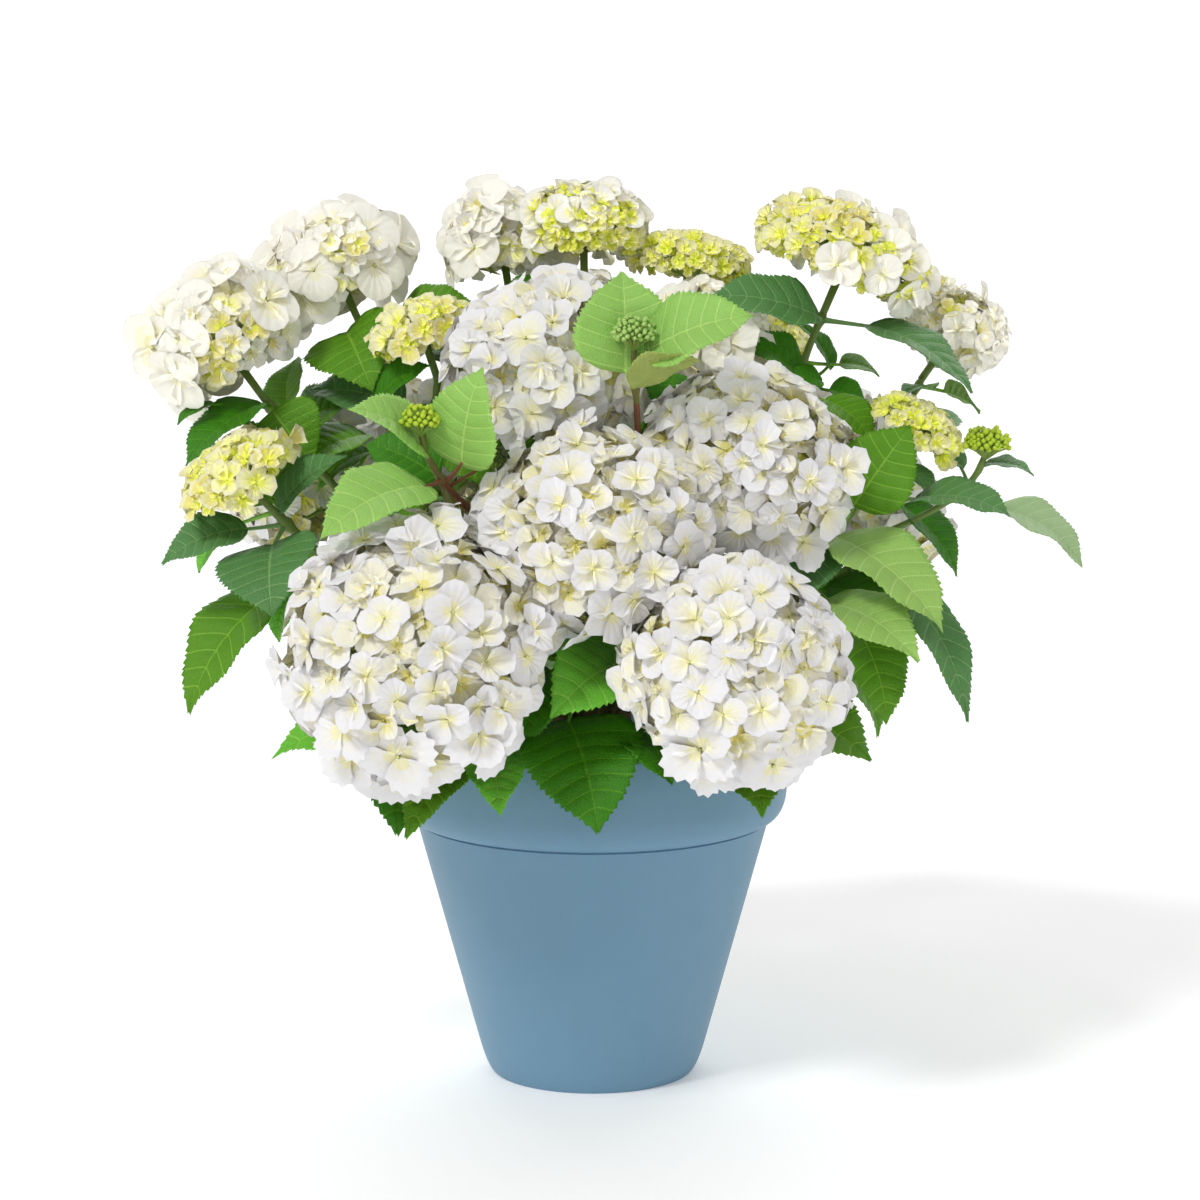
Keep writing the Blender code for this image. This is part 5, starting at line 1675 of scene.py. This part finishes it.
@dataclass
class Florets(Maker):
    """A flower head's florets: four sepals round a small eye, on stalks that branch from the stem."""

    small: float = 0.026            # florets under this size have a coarser grid
    toothed: float = 0.06           # florets with deeper teeth have a finer grid
    candidates: int = 2600
    under_limit: float = 6.0        # how much further down the florets beneath go, degrees
    eye_size: float = 0.030         # share of the floret's size
    eye_limit: float = 0.0011
    eye_shape: tuple = (1.0, 1.0, 0.85)
    hub: float = 0.45               # how far below the centre the rays part, share of the height
    stem: tuple = (0.0026, 0.0026, 0.0028)
    ray_count: int = 11
    ray_dome: float = 1.15
    ray_reach: float = 0.52
    ray_radius: tuple = (0.0017, 0.0013, 0.0009)
    stalk_radius: float = 0.00050
    lump: float = 0.07              # how far the head's surface rises and falls
    scatter: tuple = (-0.05, 0.02)
    sink: float = 0.20              # how much lower the yellower florets sit, share of their size; their yellow deep in the head is partly the florets' own colour, partly painted warm shade
    apart: float = 0.86             # how far florets keep out of the next head, share of its size
    clear: float = 0.16             # and from leaves and stems, share of their own size

    def __post_init__(self) -> None:
        """Make the templates of the sepals and the eye."""
        self.fine_grid = SepalGrid(8, (0.07, 0.36, 0.66, 0.87, 1.0))
        self.coarse_grid = SepalGrid(4, (0.08, 0.45, 0.80, 1.0))
        self.toothed_grid = SepalGrid(14, (0.07, 0.38, 0.70, 0.92, 1.0))
        self.eye = bead_shape()

    def sites(self, head: Head, kind_of: Callable[[Array], Kind], limit: float, seed: int,
              taken: Callable[[Array, float], bool] | None = None, stars: tuple = ()) -> list:
        """Scatter florets over a head, no two too near.

        Args:
            head: the head.
            kind_of: gives the kind of floret for a direction.
            limit: how far down the florets go, degrees.
            seed: starts the random draws.
            taken: says whether something else fills a place, for a floret's size.
            stars: places of the head's own florets.

        Returns:
            Place, outward normal and kind of each.
        """
        draw = np.random.default_rng(seed)
        turn = np.array(head_axis(head).to_track_quat("Z", "Y").to_matrix())
        low = math.cos(math.radians(limit))
        polar = 1.0 - draw.uniform(0.0, 1.0, self.candidates) * (1.0 - low)
        azimuth = draw.uniform(0.0, FULL_TURN, self.candidates)
        flat = np.sqrt(np.maximum(0.0, 1.0 - polar ** 2))
        ways = np.stack((flat * np.cos(azimuth), flat * np.sin(azimuth), polar), axis=1)
        wide, high = BLOOMS[head.flower].stretch
        lowest, highest = BLOOMS[head.flower].band
        shape = np.array([head.radius * wide, head.radius * wide, head.height * high])
        normals = unit(ways / shape) @ turn.T
        world = (ways * shape) @ turn.T
        found, places, sizes = [], np.zeros((0, 3)), np.zeros(0)
        for right, up in stars:
            out = math.sqrt(max(0.05, 1.0 - (right / shape[0]) ** 2 - (up / shape[2]) ** 2))
            place = np.array([right, -out * shape[0], up])
            found.append((place, np.array([0.0, -1.0, 0.0]), STAR))
            places = np.vstack((places, place))
            sizes = np.append(sizes, STAR.size * STAR_ROOM)
        for offset, normal in zip(world, normals):
            kind = kind_of(normal)
            place = offset * kind.depth
            if place[2] < lowest:
                continue
            place[2] = min(place[2], highest)
            reach = kind.size * kind.crowd
            if np.any(np.linalg.norm(places - place, axis=1) < (sizes + reach) / 2.0):
                continue
            if taken and taken(place + np.array(head.centre), kind.size):
                continue
            lump = 1.0 + self.lump * noise.noise(Vector(place) * 40.0 + Vector(head.centre) * 9.0)
            lump += draw.uniform(*self.scatter)
            found.append((place * lump, normal, kind))
            places = np.vstack((places, place))
            sizes = np.append(sizes, reach)
        return found

    def sepals(self, kind: Kind, grid: SepalGrid, count: int, draw: np.random.Generator) -> Array:
        """Shape florets in their own frames, no two sepals alike.

        Args:
            kind: the kind of floret.
            grid: its sepals' grid.
            count: how many.
            draw: random draws.

        Returns:
            Corners, florets by sepals by corners by 3.
        """
        def vary(low: float, high: float) -> Array:
            """Draw a number for each sepal."""
            return draw.uniform(low, high, (count, 4, 1))

        u, v = grid.u[None, None, :], grid.v[None, None, :]
        pair = np.array([0.0, 1.0, 0.0, 1.0])[None, :, None]
        size = draw.uniform(0.86, 1.12, (count, 1, 1))
        length = kind.size / 2.0 * size * vary(0.92, 1.08) * (1.0 - 0.05 * pair)
        fan = u * math.radians(kind.spread) * vary(0.90, 1.08)
        teeth = grid.teeth[None, None, :] * kind.tooth * vary(0.3, 1.4)
        edge = np.abs(u)
        reach = np.cos(fan) ** kind.shoulder * (1.0 - 0.34 * edge ** 5)
        reach = reach * (0.97 + kind.point * (1 - edge) ** 2)
        reach = length * (reach + teeth) * v
        x = reach * np.sin(fan) + vary(-0.06, 0.06) * length * v ** 2
        y = reach * np.cos(fan)
        open_out = draw.uniform(-0.10, 0.24, (count, 1, 1))
        z = (kind.cup + open_out) * vary(0.8, 1.25) * length * v ** 1.6
        z = z + vary(-0.06, 0.16) * length * u ** 2 * v ** 1.5
        wave = np.sin(vary(0.0, 6.3) + vary(3.0, 5.5) * u)
        z = z + kind.ruffle * length * wave * v ** 2.5
        z = z - kind.reflex * length * v ** 4 * vary(0.2, 1.8)
        z = z + vary(-0.10, 0.10) * length * u * v
        z = z - pair * 0.05 * length
        turn = np.array([0.0, 1.0, 2.0, 3.0])[None, :, None] * (math.pi / 2.0) + vary(-0.16, 0.16)
        flat_x = np.cos(turn) * y + np.sin(turn) * x
        flat_y = np.sin(turn) * y - np.cos(turn) * x
        return np.stack((flat_x, flat_y, z + 0.0 * flat_x), axis=-1)

    def layer(self, batch: Batch, head: Head, sites: list, draw: np.random.Generator) -> list:
        """Add one layer of florets to a head's piece.

        Args:
            batch: the piece.
            head: the head.
            sites: place, normal and kind of each floret.
            draw: random draws.

        Returns:
            Each floret's centre and facing.
        """
        centres = []
        for kind in sorted({id(site[2]): site[2] for site in sites}.values(), key=lambda one: one.size):
            own = [site for site in sites if site[2] is kind]
            grid = self.coarse_grid if kind.size < self.small else self.fine_grid
            if kind.tooth > self.toothed:
                grid = self.toothed_grid
            shapes = self.sepals(kind, grid, len(own), draw)
            shares = np.array([share for _, share in kind.tones])
            chosen = draw.choice(len(shares), len(own), p=shares / shares.sum())
            for (place, normal, _), shape, choice in zip(own, shapes, chosen):
                # the yellower florets sink into the head, where their colour paints warm shade in the
                # hollows
                sunk = self.sink if choice >= PALE_TONES else 0.0
                centre = place + np.array(head.centre) - normal * sunk * kind.size
                lean = draw.uniform(-kind.tilt, kind.tilt, 3) + np.array(kind.lean)
                facing = unit(normal + lean)
                across = unit(np.cross(facing, draw.normal(size=3)))
                basis = np.stack((across, np.cross(facing, across), facing))
                tones = ["petal_" + kind.tones[choice][0][zone] for zone in grid.zone]
                for sepal in shape:
                    batch.add(centre + sepal @ basis, grid.faces, tones, grid.places)
                size = min(self.eye_limit, self.eye_size * kind.size) * draw.uniform(0.8, 1.2)
                bead = (self.eye[0] * size * np.array(self.eye_shape)) @ basis + facing * size * 0.5
                batch.add(centre + bead, self.eye[1], "petal_eye")
                centres.append((centre, facing))
        return centres

    def stalks(self, batch: Batch, head: Head, centres: list) -> None:
        """Add the rays that branch from the stem, and a thin stalk to each floret.

        Args:
            batch: the piece.
            head: the head.
            centres: each floret's centre and facing.
        """
        axis, joint, middle = (np.array(v) for v in (head_axis(head), head_joint(head), head.centre))
        hub = middle - axis * head.height * self.hub
        path = np.array([joint - axis * 0.006, joint, hub])
        batch.add(*tube_shape(path, np.array(self.stem), 10), "stem_green")
        turn = np.array(head_axis(head).to_track_quat("Z", "Y").to_matrix())
        ends = []
        for ray in range(self.ray_count):
            way = dome_way(ray, self.ray_count, self.ray_dome)
            way = way * np.array([head.radius, head.radius, head.height])
            end = middle + turn @ way * self.ray_reach
            ends.append(end)
            bend = hub + (end - hub) * 0.5 - axis * 0.15 * head.height
            batch.add(*tube_shape(np.array([hub, bend, end]), np.array(self.ray_radius), 6),
                      BLOOMS[head.flower].rays)
        ends = np.array(ends)
        for centre, facing in centres:
            end = ends[np.argmin(np.linalg.norm(ends - centre, axis=1))]
            path = np.array([end, centre - facing * 0.30 * np.linalg.norm(centre - end), centre])
            points, faces = tube_shape(path, np.full(3, self.stalk_radius), 3)
            batch.add(points, faces[:-2], "stem_young")

    def build(self) -> None:
        """Build each flower head as a piece."""
        blocks = self.blocks()
        for index, head in enumerate(HEADS):
            bloom = BLOOMS[head.flower]
            aim = unit(np.array(bloom.aim))
            edge = math.cos(math.radians(bloom.angle))

            def kind_of(normal: Array) -> Kind:
                """Give the kind of floret for a direction."""
                return bloom.heart if bloom.heart and float(normal @ aim) > edge else bloom.main

            def taken(place: Array, size: float) -> bool:
                """Say whether a place is filled.

                Args:
                    place: the place.
                    size: the floret's size.

                Returns:
                    Whether another head, a leaf or a stem is there.
                """
                for other in HEADS:
                    gap = np.linalg.norm(place - np.array(other.centre))
                    if other is not head and gap < self.apart * (other.radius + other.height) / 2.0:
                        return True
                return blocks.find_nearest(Vector(place), size * self.clear)[0] is not None

            draw = np.random.default_rng(SEED * 41 + index)
            batch = Batch("florets_" + head.name)
            upper = self.sites(head, kind_of, bloom.limit, SEED * 43 + index, taken, bloom.stars)
            lower = self.sites(head, lambda normal: bloom.under, bloom.limit + self.under_limit,
                               SEED * 47 + index)
            centres = self.layer(batch, head, upper, draw) + self.layer(batch, head, lower, draw)
            self.stalks(batch, head, centres)
            LOG.info("%s: %d florets over %d", head.name, len(upper), len(lower))
            settle(batch.build(self.palette), bloom.slot, "head_" + head.name)

    def blocks(self) -> BVHTree:
        """Gather the solids of the leaves and stems, which florets keep clear of.

        Returns:
            Their search tree.
        """
        points, faces = [], []
        for name in self.plant.limbs:
            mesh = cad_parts["shoot_" + name].data
            start = len(points)
            points += [corner.co.copy() for corner in mesh.vertices]
            faces += [tuple(start + corner for corner in face.vertices) for face in mesh.polygons]
        return BVHTree.FromPolygons(points, faces)


# ----- Pot, compost, stump and canes -----
@dataclass
class Pot(Maker):
    """The tapered plastic pot: rolled lip, rim band turned in over a seam, rounded foot."""

    top: float = 0.235
    rim_radius: float = 0.130
    rim_foot: float = 0.195
    seam_height: float = 0.1747
    seam_radius: float = 0.118
    foot_height: float = 0.022
    foot_radius: float = 0.0765
    base_radius: float = 0.067
    groove: float = 0.0012
    wall: float = 0.0035
    floor: float = 0.005
    steps: int = 128

    def profile(self) -> list:
        """Draw the section.

        Returns:
            Its points, radius and height, from the inner floor round to the base.
        """
        lip = self.wall / 2.0
        slope = (self.seam_radius - self.foot_radius) / (self.seam_height - self.foot_height)
        inner = self.seam_radius - self.wall
        low = inner - (self.seam_height - self.floor) * slope
        points = [(0.0, self.floor), (low - 0.003, self.floor), (low, self.floor + 0.003)]
        points += [(inner, self.seam_height), (self.rim_radius - self.wall, self.rim_foot)]
        for step in range(9):
            turn = math.pi * (1.0 - step / 8)
            points.append((self.rim_radius - lip + lip * math.cos(turn),
                           self.top - lip + lip * math.sin(turn)))
        reach = self.rim_radius - self.seam_radius - 0.0012
        points.append((self.rim_radius, self.rim_foot + 0.020))
        for step in range(11):
            turn = math.pi / 2.0 * step / 10
            points.append((self.rim_radius - reach * (1.0 - math.cos(turn)),
                           self.rim_foot - (self.rim_foot - self.seam_height) * math.sin(turn)))
        points += [(self.seam_radius - self.groove, self.seam_height - 0.0001),
                   (self.seam_radius - self.groove, self.seam_height - 0.0011),
                   (self.seam_radius - 0.0002, self.seam_height - 0.0019)]
        corner = self.foot_radius - slope * self.foot_height * 0.85
        for step in range(13):
            t = step / 12
            radius = self.foot_radius * (1 - t) ** 2 + corner * 2 * t * (1 - t)
            radius += self.base_radius * t ** 2
            height = self.foot_height * (1 - t) ** 2 + self.foot_height * 0.3 * t * (1 - t)
            points.append((radius, height))
        points += [(self.base_radius - 0.004, 0.0), (0.0, 0.0)]
        return points

    def build(self) -> None:
        """Build the pot."""
        piece = turned("pot_body", self.profile(), self.steps, self.palette.get("pot_plastic"))
        settle(piece, "pot", "pot")


def turned(name: str, profile: list, steps: int, material: bpy.types.Material,
           rough: float = 0.0) -> bpy.types.Object:
    """Turn a section round the Z axis.

    Args:
        name: the piece's name.
        profile: radius and height of the section's points.
        steps: steps of the turn.
        material: the piece's material.
        rough: how far the compost's top is stirred, metres.

    Returns:
        The piece.
    """
    work = bmesh.new()
    chain = [work.verts.new((radius, 0.0, height)) for radius, height in profile]
    edges = [work.edges.new(pair) for pair in zip(chain, chain[1:])]
    bmesh.ops.spin(work, geom=chain + edges, axis=(0.0, 0.0, 1.0), cent=(0.0, 0.0, 0.0),
                   angle=FULL_TURN, steps=steps, use_merge=True)
    bmesh.ops.remove_doubles(work, verts=work.verts, dist=0.00002)
    bmesh.ops.recalc_face_normals(work, faces=work.faces)
    if rough:
        for corner in work.verts:
            edge = min(1.0, max(0.0, (STILL_EDGE - corner.co.xy.length) / 0.010))
            if corner.co.z > COMPOST_TOP - 0.0005:
                lift = noise.fractal(corner.co * 90.0, 0.8, 2.1, 4)
                corner.co.z += rough * (lift * edge + 0.35 * noise.noise(corner.co * 420.0) * edge)
    return mesh_piece(work, name, material)


@dataclass
class Compost(Maker):
    """Compost up to its level, with crumbs and bits of bark on it."""

    radius: float = 0.1262
    skirt: tuple = ((0.1262, 0.204), (0.1262, 0.196), (0.113, 0.174), (0.070, 0.0056), (0.0, 0.0056))
    steps: int = 140
    rings: int = 44
    rough: float = 0.0022
    crumbs: int = 520
    sizes: tuple = (0.0010, 0.0032)
    stretch: tuple = ((0.6, 1.8), (0.6, 1.2), (0.45, 0.9))
    bark_share: float = 0.3

    def build(self) -> None:
        """Build the compost and its crumbs."""
        profile = [(self.radius * ring / self.rings, COMPOST_TOP) for ring in range(self.rings)]
        profile += self.skirt
        piece = turned("compost_bed", profile, self.steps, self.palette.get("compost"), self.rough)
        settle(piece, "compost", "compost")
        batch = Batch("compost_crumbs")
        draw = random.Random(SEED * 53)
        points, faces = bead_shape()
        for _ in range(self.crumbs):
            reach = self.radius * 0.96 * math.sqrt(draw.uniform(0.03, 1.0))
            turn = draw.uniform(0.0, FULL_TURN)
            size = draw.uniform(*self.sizes)
            stretch = np.array([draw.uniform(*span) for span in self.stretch])
            spin = np.array(Matrix.Rotation(draw.uniform(0.0, 6.3), 3, "Z"))
            height = COMPOST_TOP + size * 0.25
            place = np.array([reach * math.cos(turn), reach * math.sin(turn), height])
            batch.add(place + (points * size * stretch) @ spin.T, faces,
                      "bark" if draw.random() < self.bark_share else "compost")
        settle(batch.build(self.palette), "compost", "compost")


@dataclass
class Wood(Maker):
    """The stump with its collars, and the canes that rise from them."""

    sides: int = 48
    foot: tuple = (0.004, 0.027, 0.18)      # how deep the stump goes, its radius and lobes there
    collar_flare: float = 1.5
    voxel: float = 0.0013
    relief: float = 0.0011
    cane_sides: int = 14
    cane_spacing: float = 0.0024
    cane_relief: float = 0.0009
    first_scar: tuple = (0.020, 0.034)
    next_scar: tuple = (0.026, 0.042)
    scar_swell: float = 0.22
    scar_reach: float = 0.0018

    def build(self) -> None:
        """Build the stump and the canes."""
        self.stump()
        self.canes()

    def stump(self) -> None:
        """Build the stump: a lobed flare, a neck and a knobbly top, grown into its collars."""
        work = bmesh.new()
        depth, radius, lobe = self.foot
        rings = [(COMPOST_TOP - depth, radius, lobe)]
        rings += [(COMPOST_TOP + rise, radius, lobe) for rise, radius, lobe in STUMP_FLARE]
        for angle in range(-30, 90, 12):
            turn = math.radians(angle)
            rings.append((STUMP_CENTRE.z + STUMP_KNOB_RADIUS * math.sin(turn),
                          STUMP_KNOB_RADIUS * math.cos(turn), 0.0))
        before = None
        for height, radius, lobe in rings:
            share = (height - COMPOST_TOP) / (STUMP_CENTRE.z - COMPOST_TOP)
            middle = Vector((STUMP_CENTRE.x * share, STUMP_CENTRE.y * share, height))
            made = bmesh.ops.create_circle(work, segments=self.sides, radius=radius,
                                           matrix=Matrix.Translation(middle), cap_ends=False)["verts"]
            for corner in made:
                way = corner.co.xy - middle.xy
                turn = math.atan2(way.y, way.x)
                corner.co.xy = middle.xy + way * (1.0 + lobe * math.cos(STUMP_LOBES * turn))
            ring = [edge for edge in work.edges if edge.verts[0] in made and edge.verts[1] in made]
            if before:
                bmesh.ops.bridge_loops(work, edges=before + ring)
            before = ring
        bmesh.ops.holes_fill(work, edges=work.edges, sides=0)
        for shoot in SHOOTS:
            along = direction(*shoot.collar)
            turn = along.to_track_quat("Z", "Y").to_matrix().to_4x4()
            place = Matrix.Translation(STUMP_CENTRE + along * (COLLAR_REACH / 2.0)) @ turn
            bmesh.ops.create_cone(
                work, cap_ends=True, segments=20, radius1=COLLAR_RADIUS * self.collar_flare,
                radius2=COLLAR_RADIUS, depth=COLLAR_REACH, matrix=place)
        bmesh.ops.recalc_face_normals(work, faces=work.faces)
        piece = mesh_piece(work, "stump", self.palette.get("bark"), 180.0)
        remesh = piece.modifiers.new("Grown together", "REMESH")
        remesh.mode = "VOXEL"
        remesh.voxel_size = self.voxel
        remesh.use_smooth_shade = True
        graph = bpy.context.evaluated_depsgraph_get()
        mesh = bpy.data.meshes.new_from_object(piece.evaluated_get(graph))
        piece.modifiers.clear()
        piece.data = mesh
        work = bmesh.new()
        work.from_mesh(mesh)
        for _ in range(4):
            bmesh.ops.smooth_vert(work, verts=work.verts, factor=0.5, use_axis_x=True, use_axis_y=True,
                                  use_axis_z=True)
        work.normal_update()
        for corner in work.verts:
            place = corner.co.copy()
            place.z *= 0.35
            ridge = abs(noise.noise(place * 420.0)) - 0.25
            knot = noise.noise(corner.co * 120.0)
            corner.co += corner.normal * self.relief * (ridge * 0.9 + knot * 0.8)
        work.to_mesh(mesh)
        work.free()
        mesh.materials.clear()
        mesh.materials.append(self.palette.get("bark"))
        mesh.shade_smooth()
        settle(piece, "bark", "trunk")

    def canes(self) -> None:
        """Build the canes: ridged bark, a ring at each old leaf scar."""
        batch = Batch("canes")
        for index, limbs in enumerate(self.plant.limbs.values()):
            draw = random.Random(SEED * 59 + index)
            path, fine = resample(limbs.cane, FINE_STEPS, self.cane_spacing)
            radii = taper(CANE_RADIUS, fine / fine[-1])
            scar = draw.uniform(*self.first_scar)
            while scar < fine[-1] - 0.006:
                ring = np.exp(-((fine - scar) / self.scar_reach) ** 2)
                radii = radii * (1.0 + self.scar_swell * ring)
                scar += draw.uniform(*self.next_scar)
            points, faces = tube_shape(path, radii, self.cane_sides)
            centres = np.repeat(path, self.cane_sides, axis=0)
            out = unit(points - centres)
            lift = [abs(noise.noise(Vector((x * 300.0, y * 300.0, z * 60.0)))) for x, y, z in points]
            batch.add(points + out * (np.array(lift)[:, None] - 0.2) * self.cane_relief, faces, "bark")
        settle(batch.build(self.palette), "bark", *["cane_" + shoot.name for shoot in SHOOTS])


# ----- Studio -----
@dataclass
class Studio:
    """A wide pale floor, soft lights, and the camera."""

    floor_tone: float = 0.95
    floor_reach: float = 160.0
    floor_glow: float = 0.15
    floor_roughness: float = 0.9
    sky: float = 0.52
    camera_place: tuple = (0.005, -2.6, 0.733)
    camera_aim: tuple = (0.005, 0.0, 0.3195)
    lens: float = 118.85            # with the sensor's width, millimetres
    sensor: float = 36.0
    # Each sun's name, the way it stands, its strength and its spread in degrees
    lights: tuple = (("key", (-0.66, -0.84, 1.12), 1.30, 12.0),
                     ("fill", (0.20, -1.0, 0.15), 0.24, 80.0),
                     ("back", (0.05, 1.0, 0.42), 1.75, 60.0))

    def build(self) -> None:
        """Build the floor, lights and camera."""
        work = bmesh.new()
        bmesh.ops.create_grid(work, x_segments=2, y_segments=2, size=self.floor_reach)
        tone = (self.floor_tone,) * 3
        paper = SkinFinish("floor_paper", tone, self.floor_roughness, *FLAT).material()
        shader = paper.node_tree.nodes["Principled BSDF"]
        shader.inputs["Emission Color"].default_value = (1.0, 1.0, 1.0, 1.0)
        shader.inputs["Emission Strength"].default_value = self.floor_glow
        mesh_piece(work, "floor", paper)
        world = bpy.data.worlds.new("studio")
        world.use_nodes = True
        sky = world.node_tree.nodes["Background"]
        sky.inputs["Color"].default_value = (1.0, 1.0, 1.0, 1.0)
        sky.inputs["Strength"].default_value = self.sky
        bpy.context.scene.world = world
        for name, place, strength, spread in self.lights:
            lamp = bpy.data.lights.new(name, "SUN")
            lamp.energy = strength
            lamp.angle = math.radians(spread)
            show(name, lamp).rotation_euler = Vector(place).to_track_quat("Z", "Y").to_euler()
        lens = bpy.data.cameras.new("camera")
        lens.lens = self.lens
        lens.sensor_width = self.sensor
        camera = show("camera", lens)
        camera.location = self.camera_place
        aim = Vector(self.camera_aim) - Vector(self.camera_place)
        camera.rotation_euler = aim.to_track_quat("-Z", "Y").to_euler()
        bpy.context.scene.camera = camera
        bpy.context.scene.view_settings.view_transform = "Standard"


def write_sizes() -> None:
    """Bring the scene's layout up to date."""
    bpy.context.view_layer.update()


def main() -> None:
    """Build the plant, its pot and the studio."""
    logging.basicConfig(level=logging.INFO, format="%(message)s")
    palette = Palette()
    plant = Plant()
    LOG.info("%d leaves found room", len(plant.spots))
    for maker in (Pot, Compost, Wood, Stems, Foliage, Florets):
        maker(plant, palette).build()
    Studio().build()
    write_sizes()


if __name__ == "__main__":
    main()
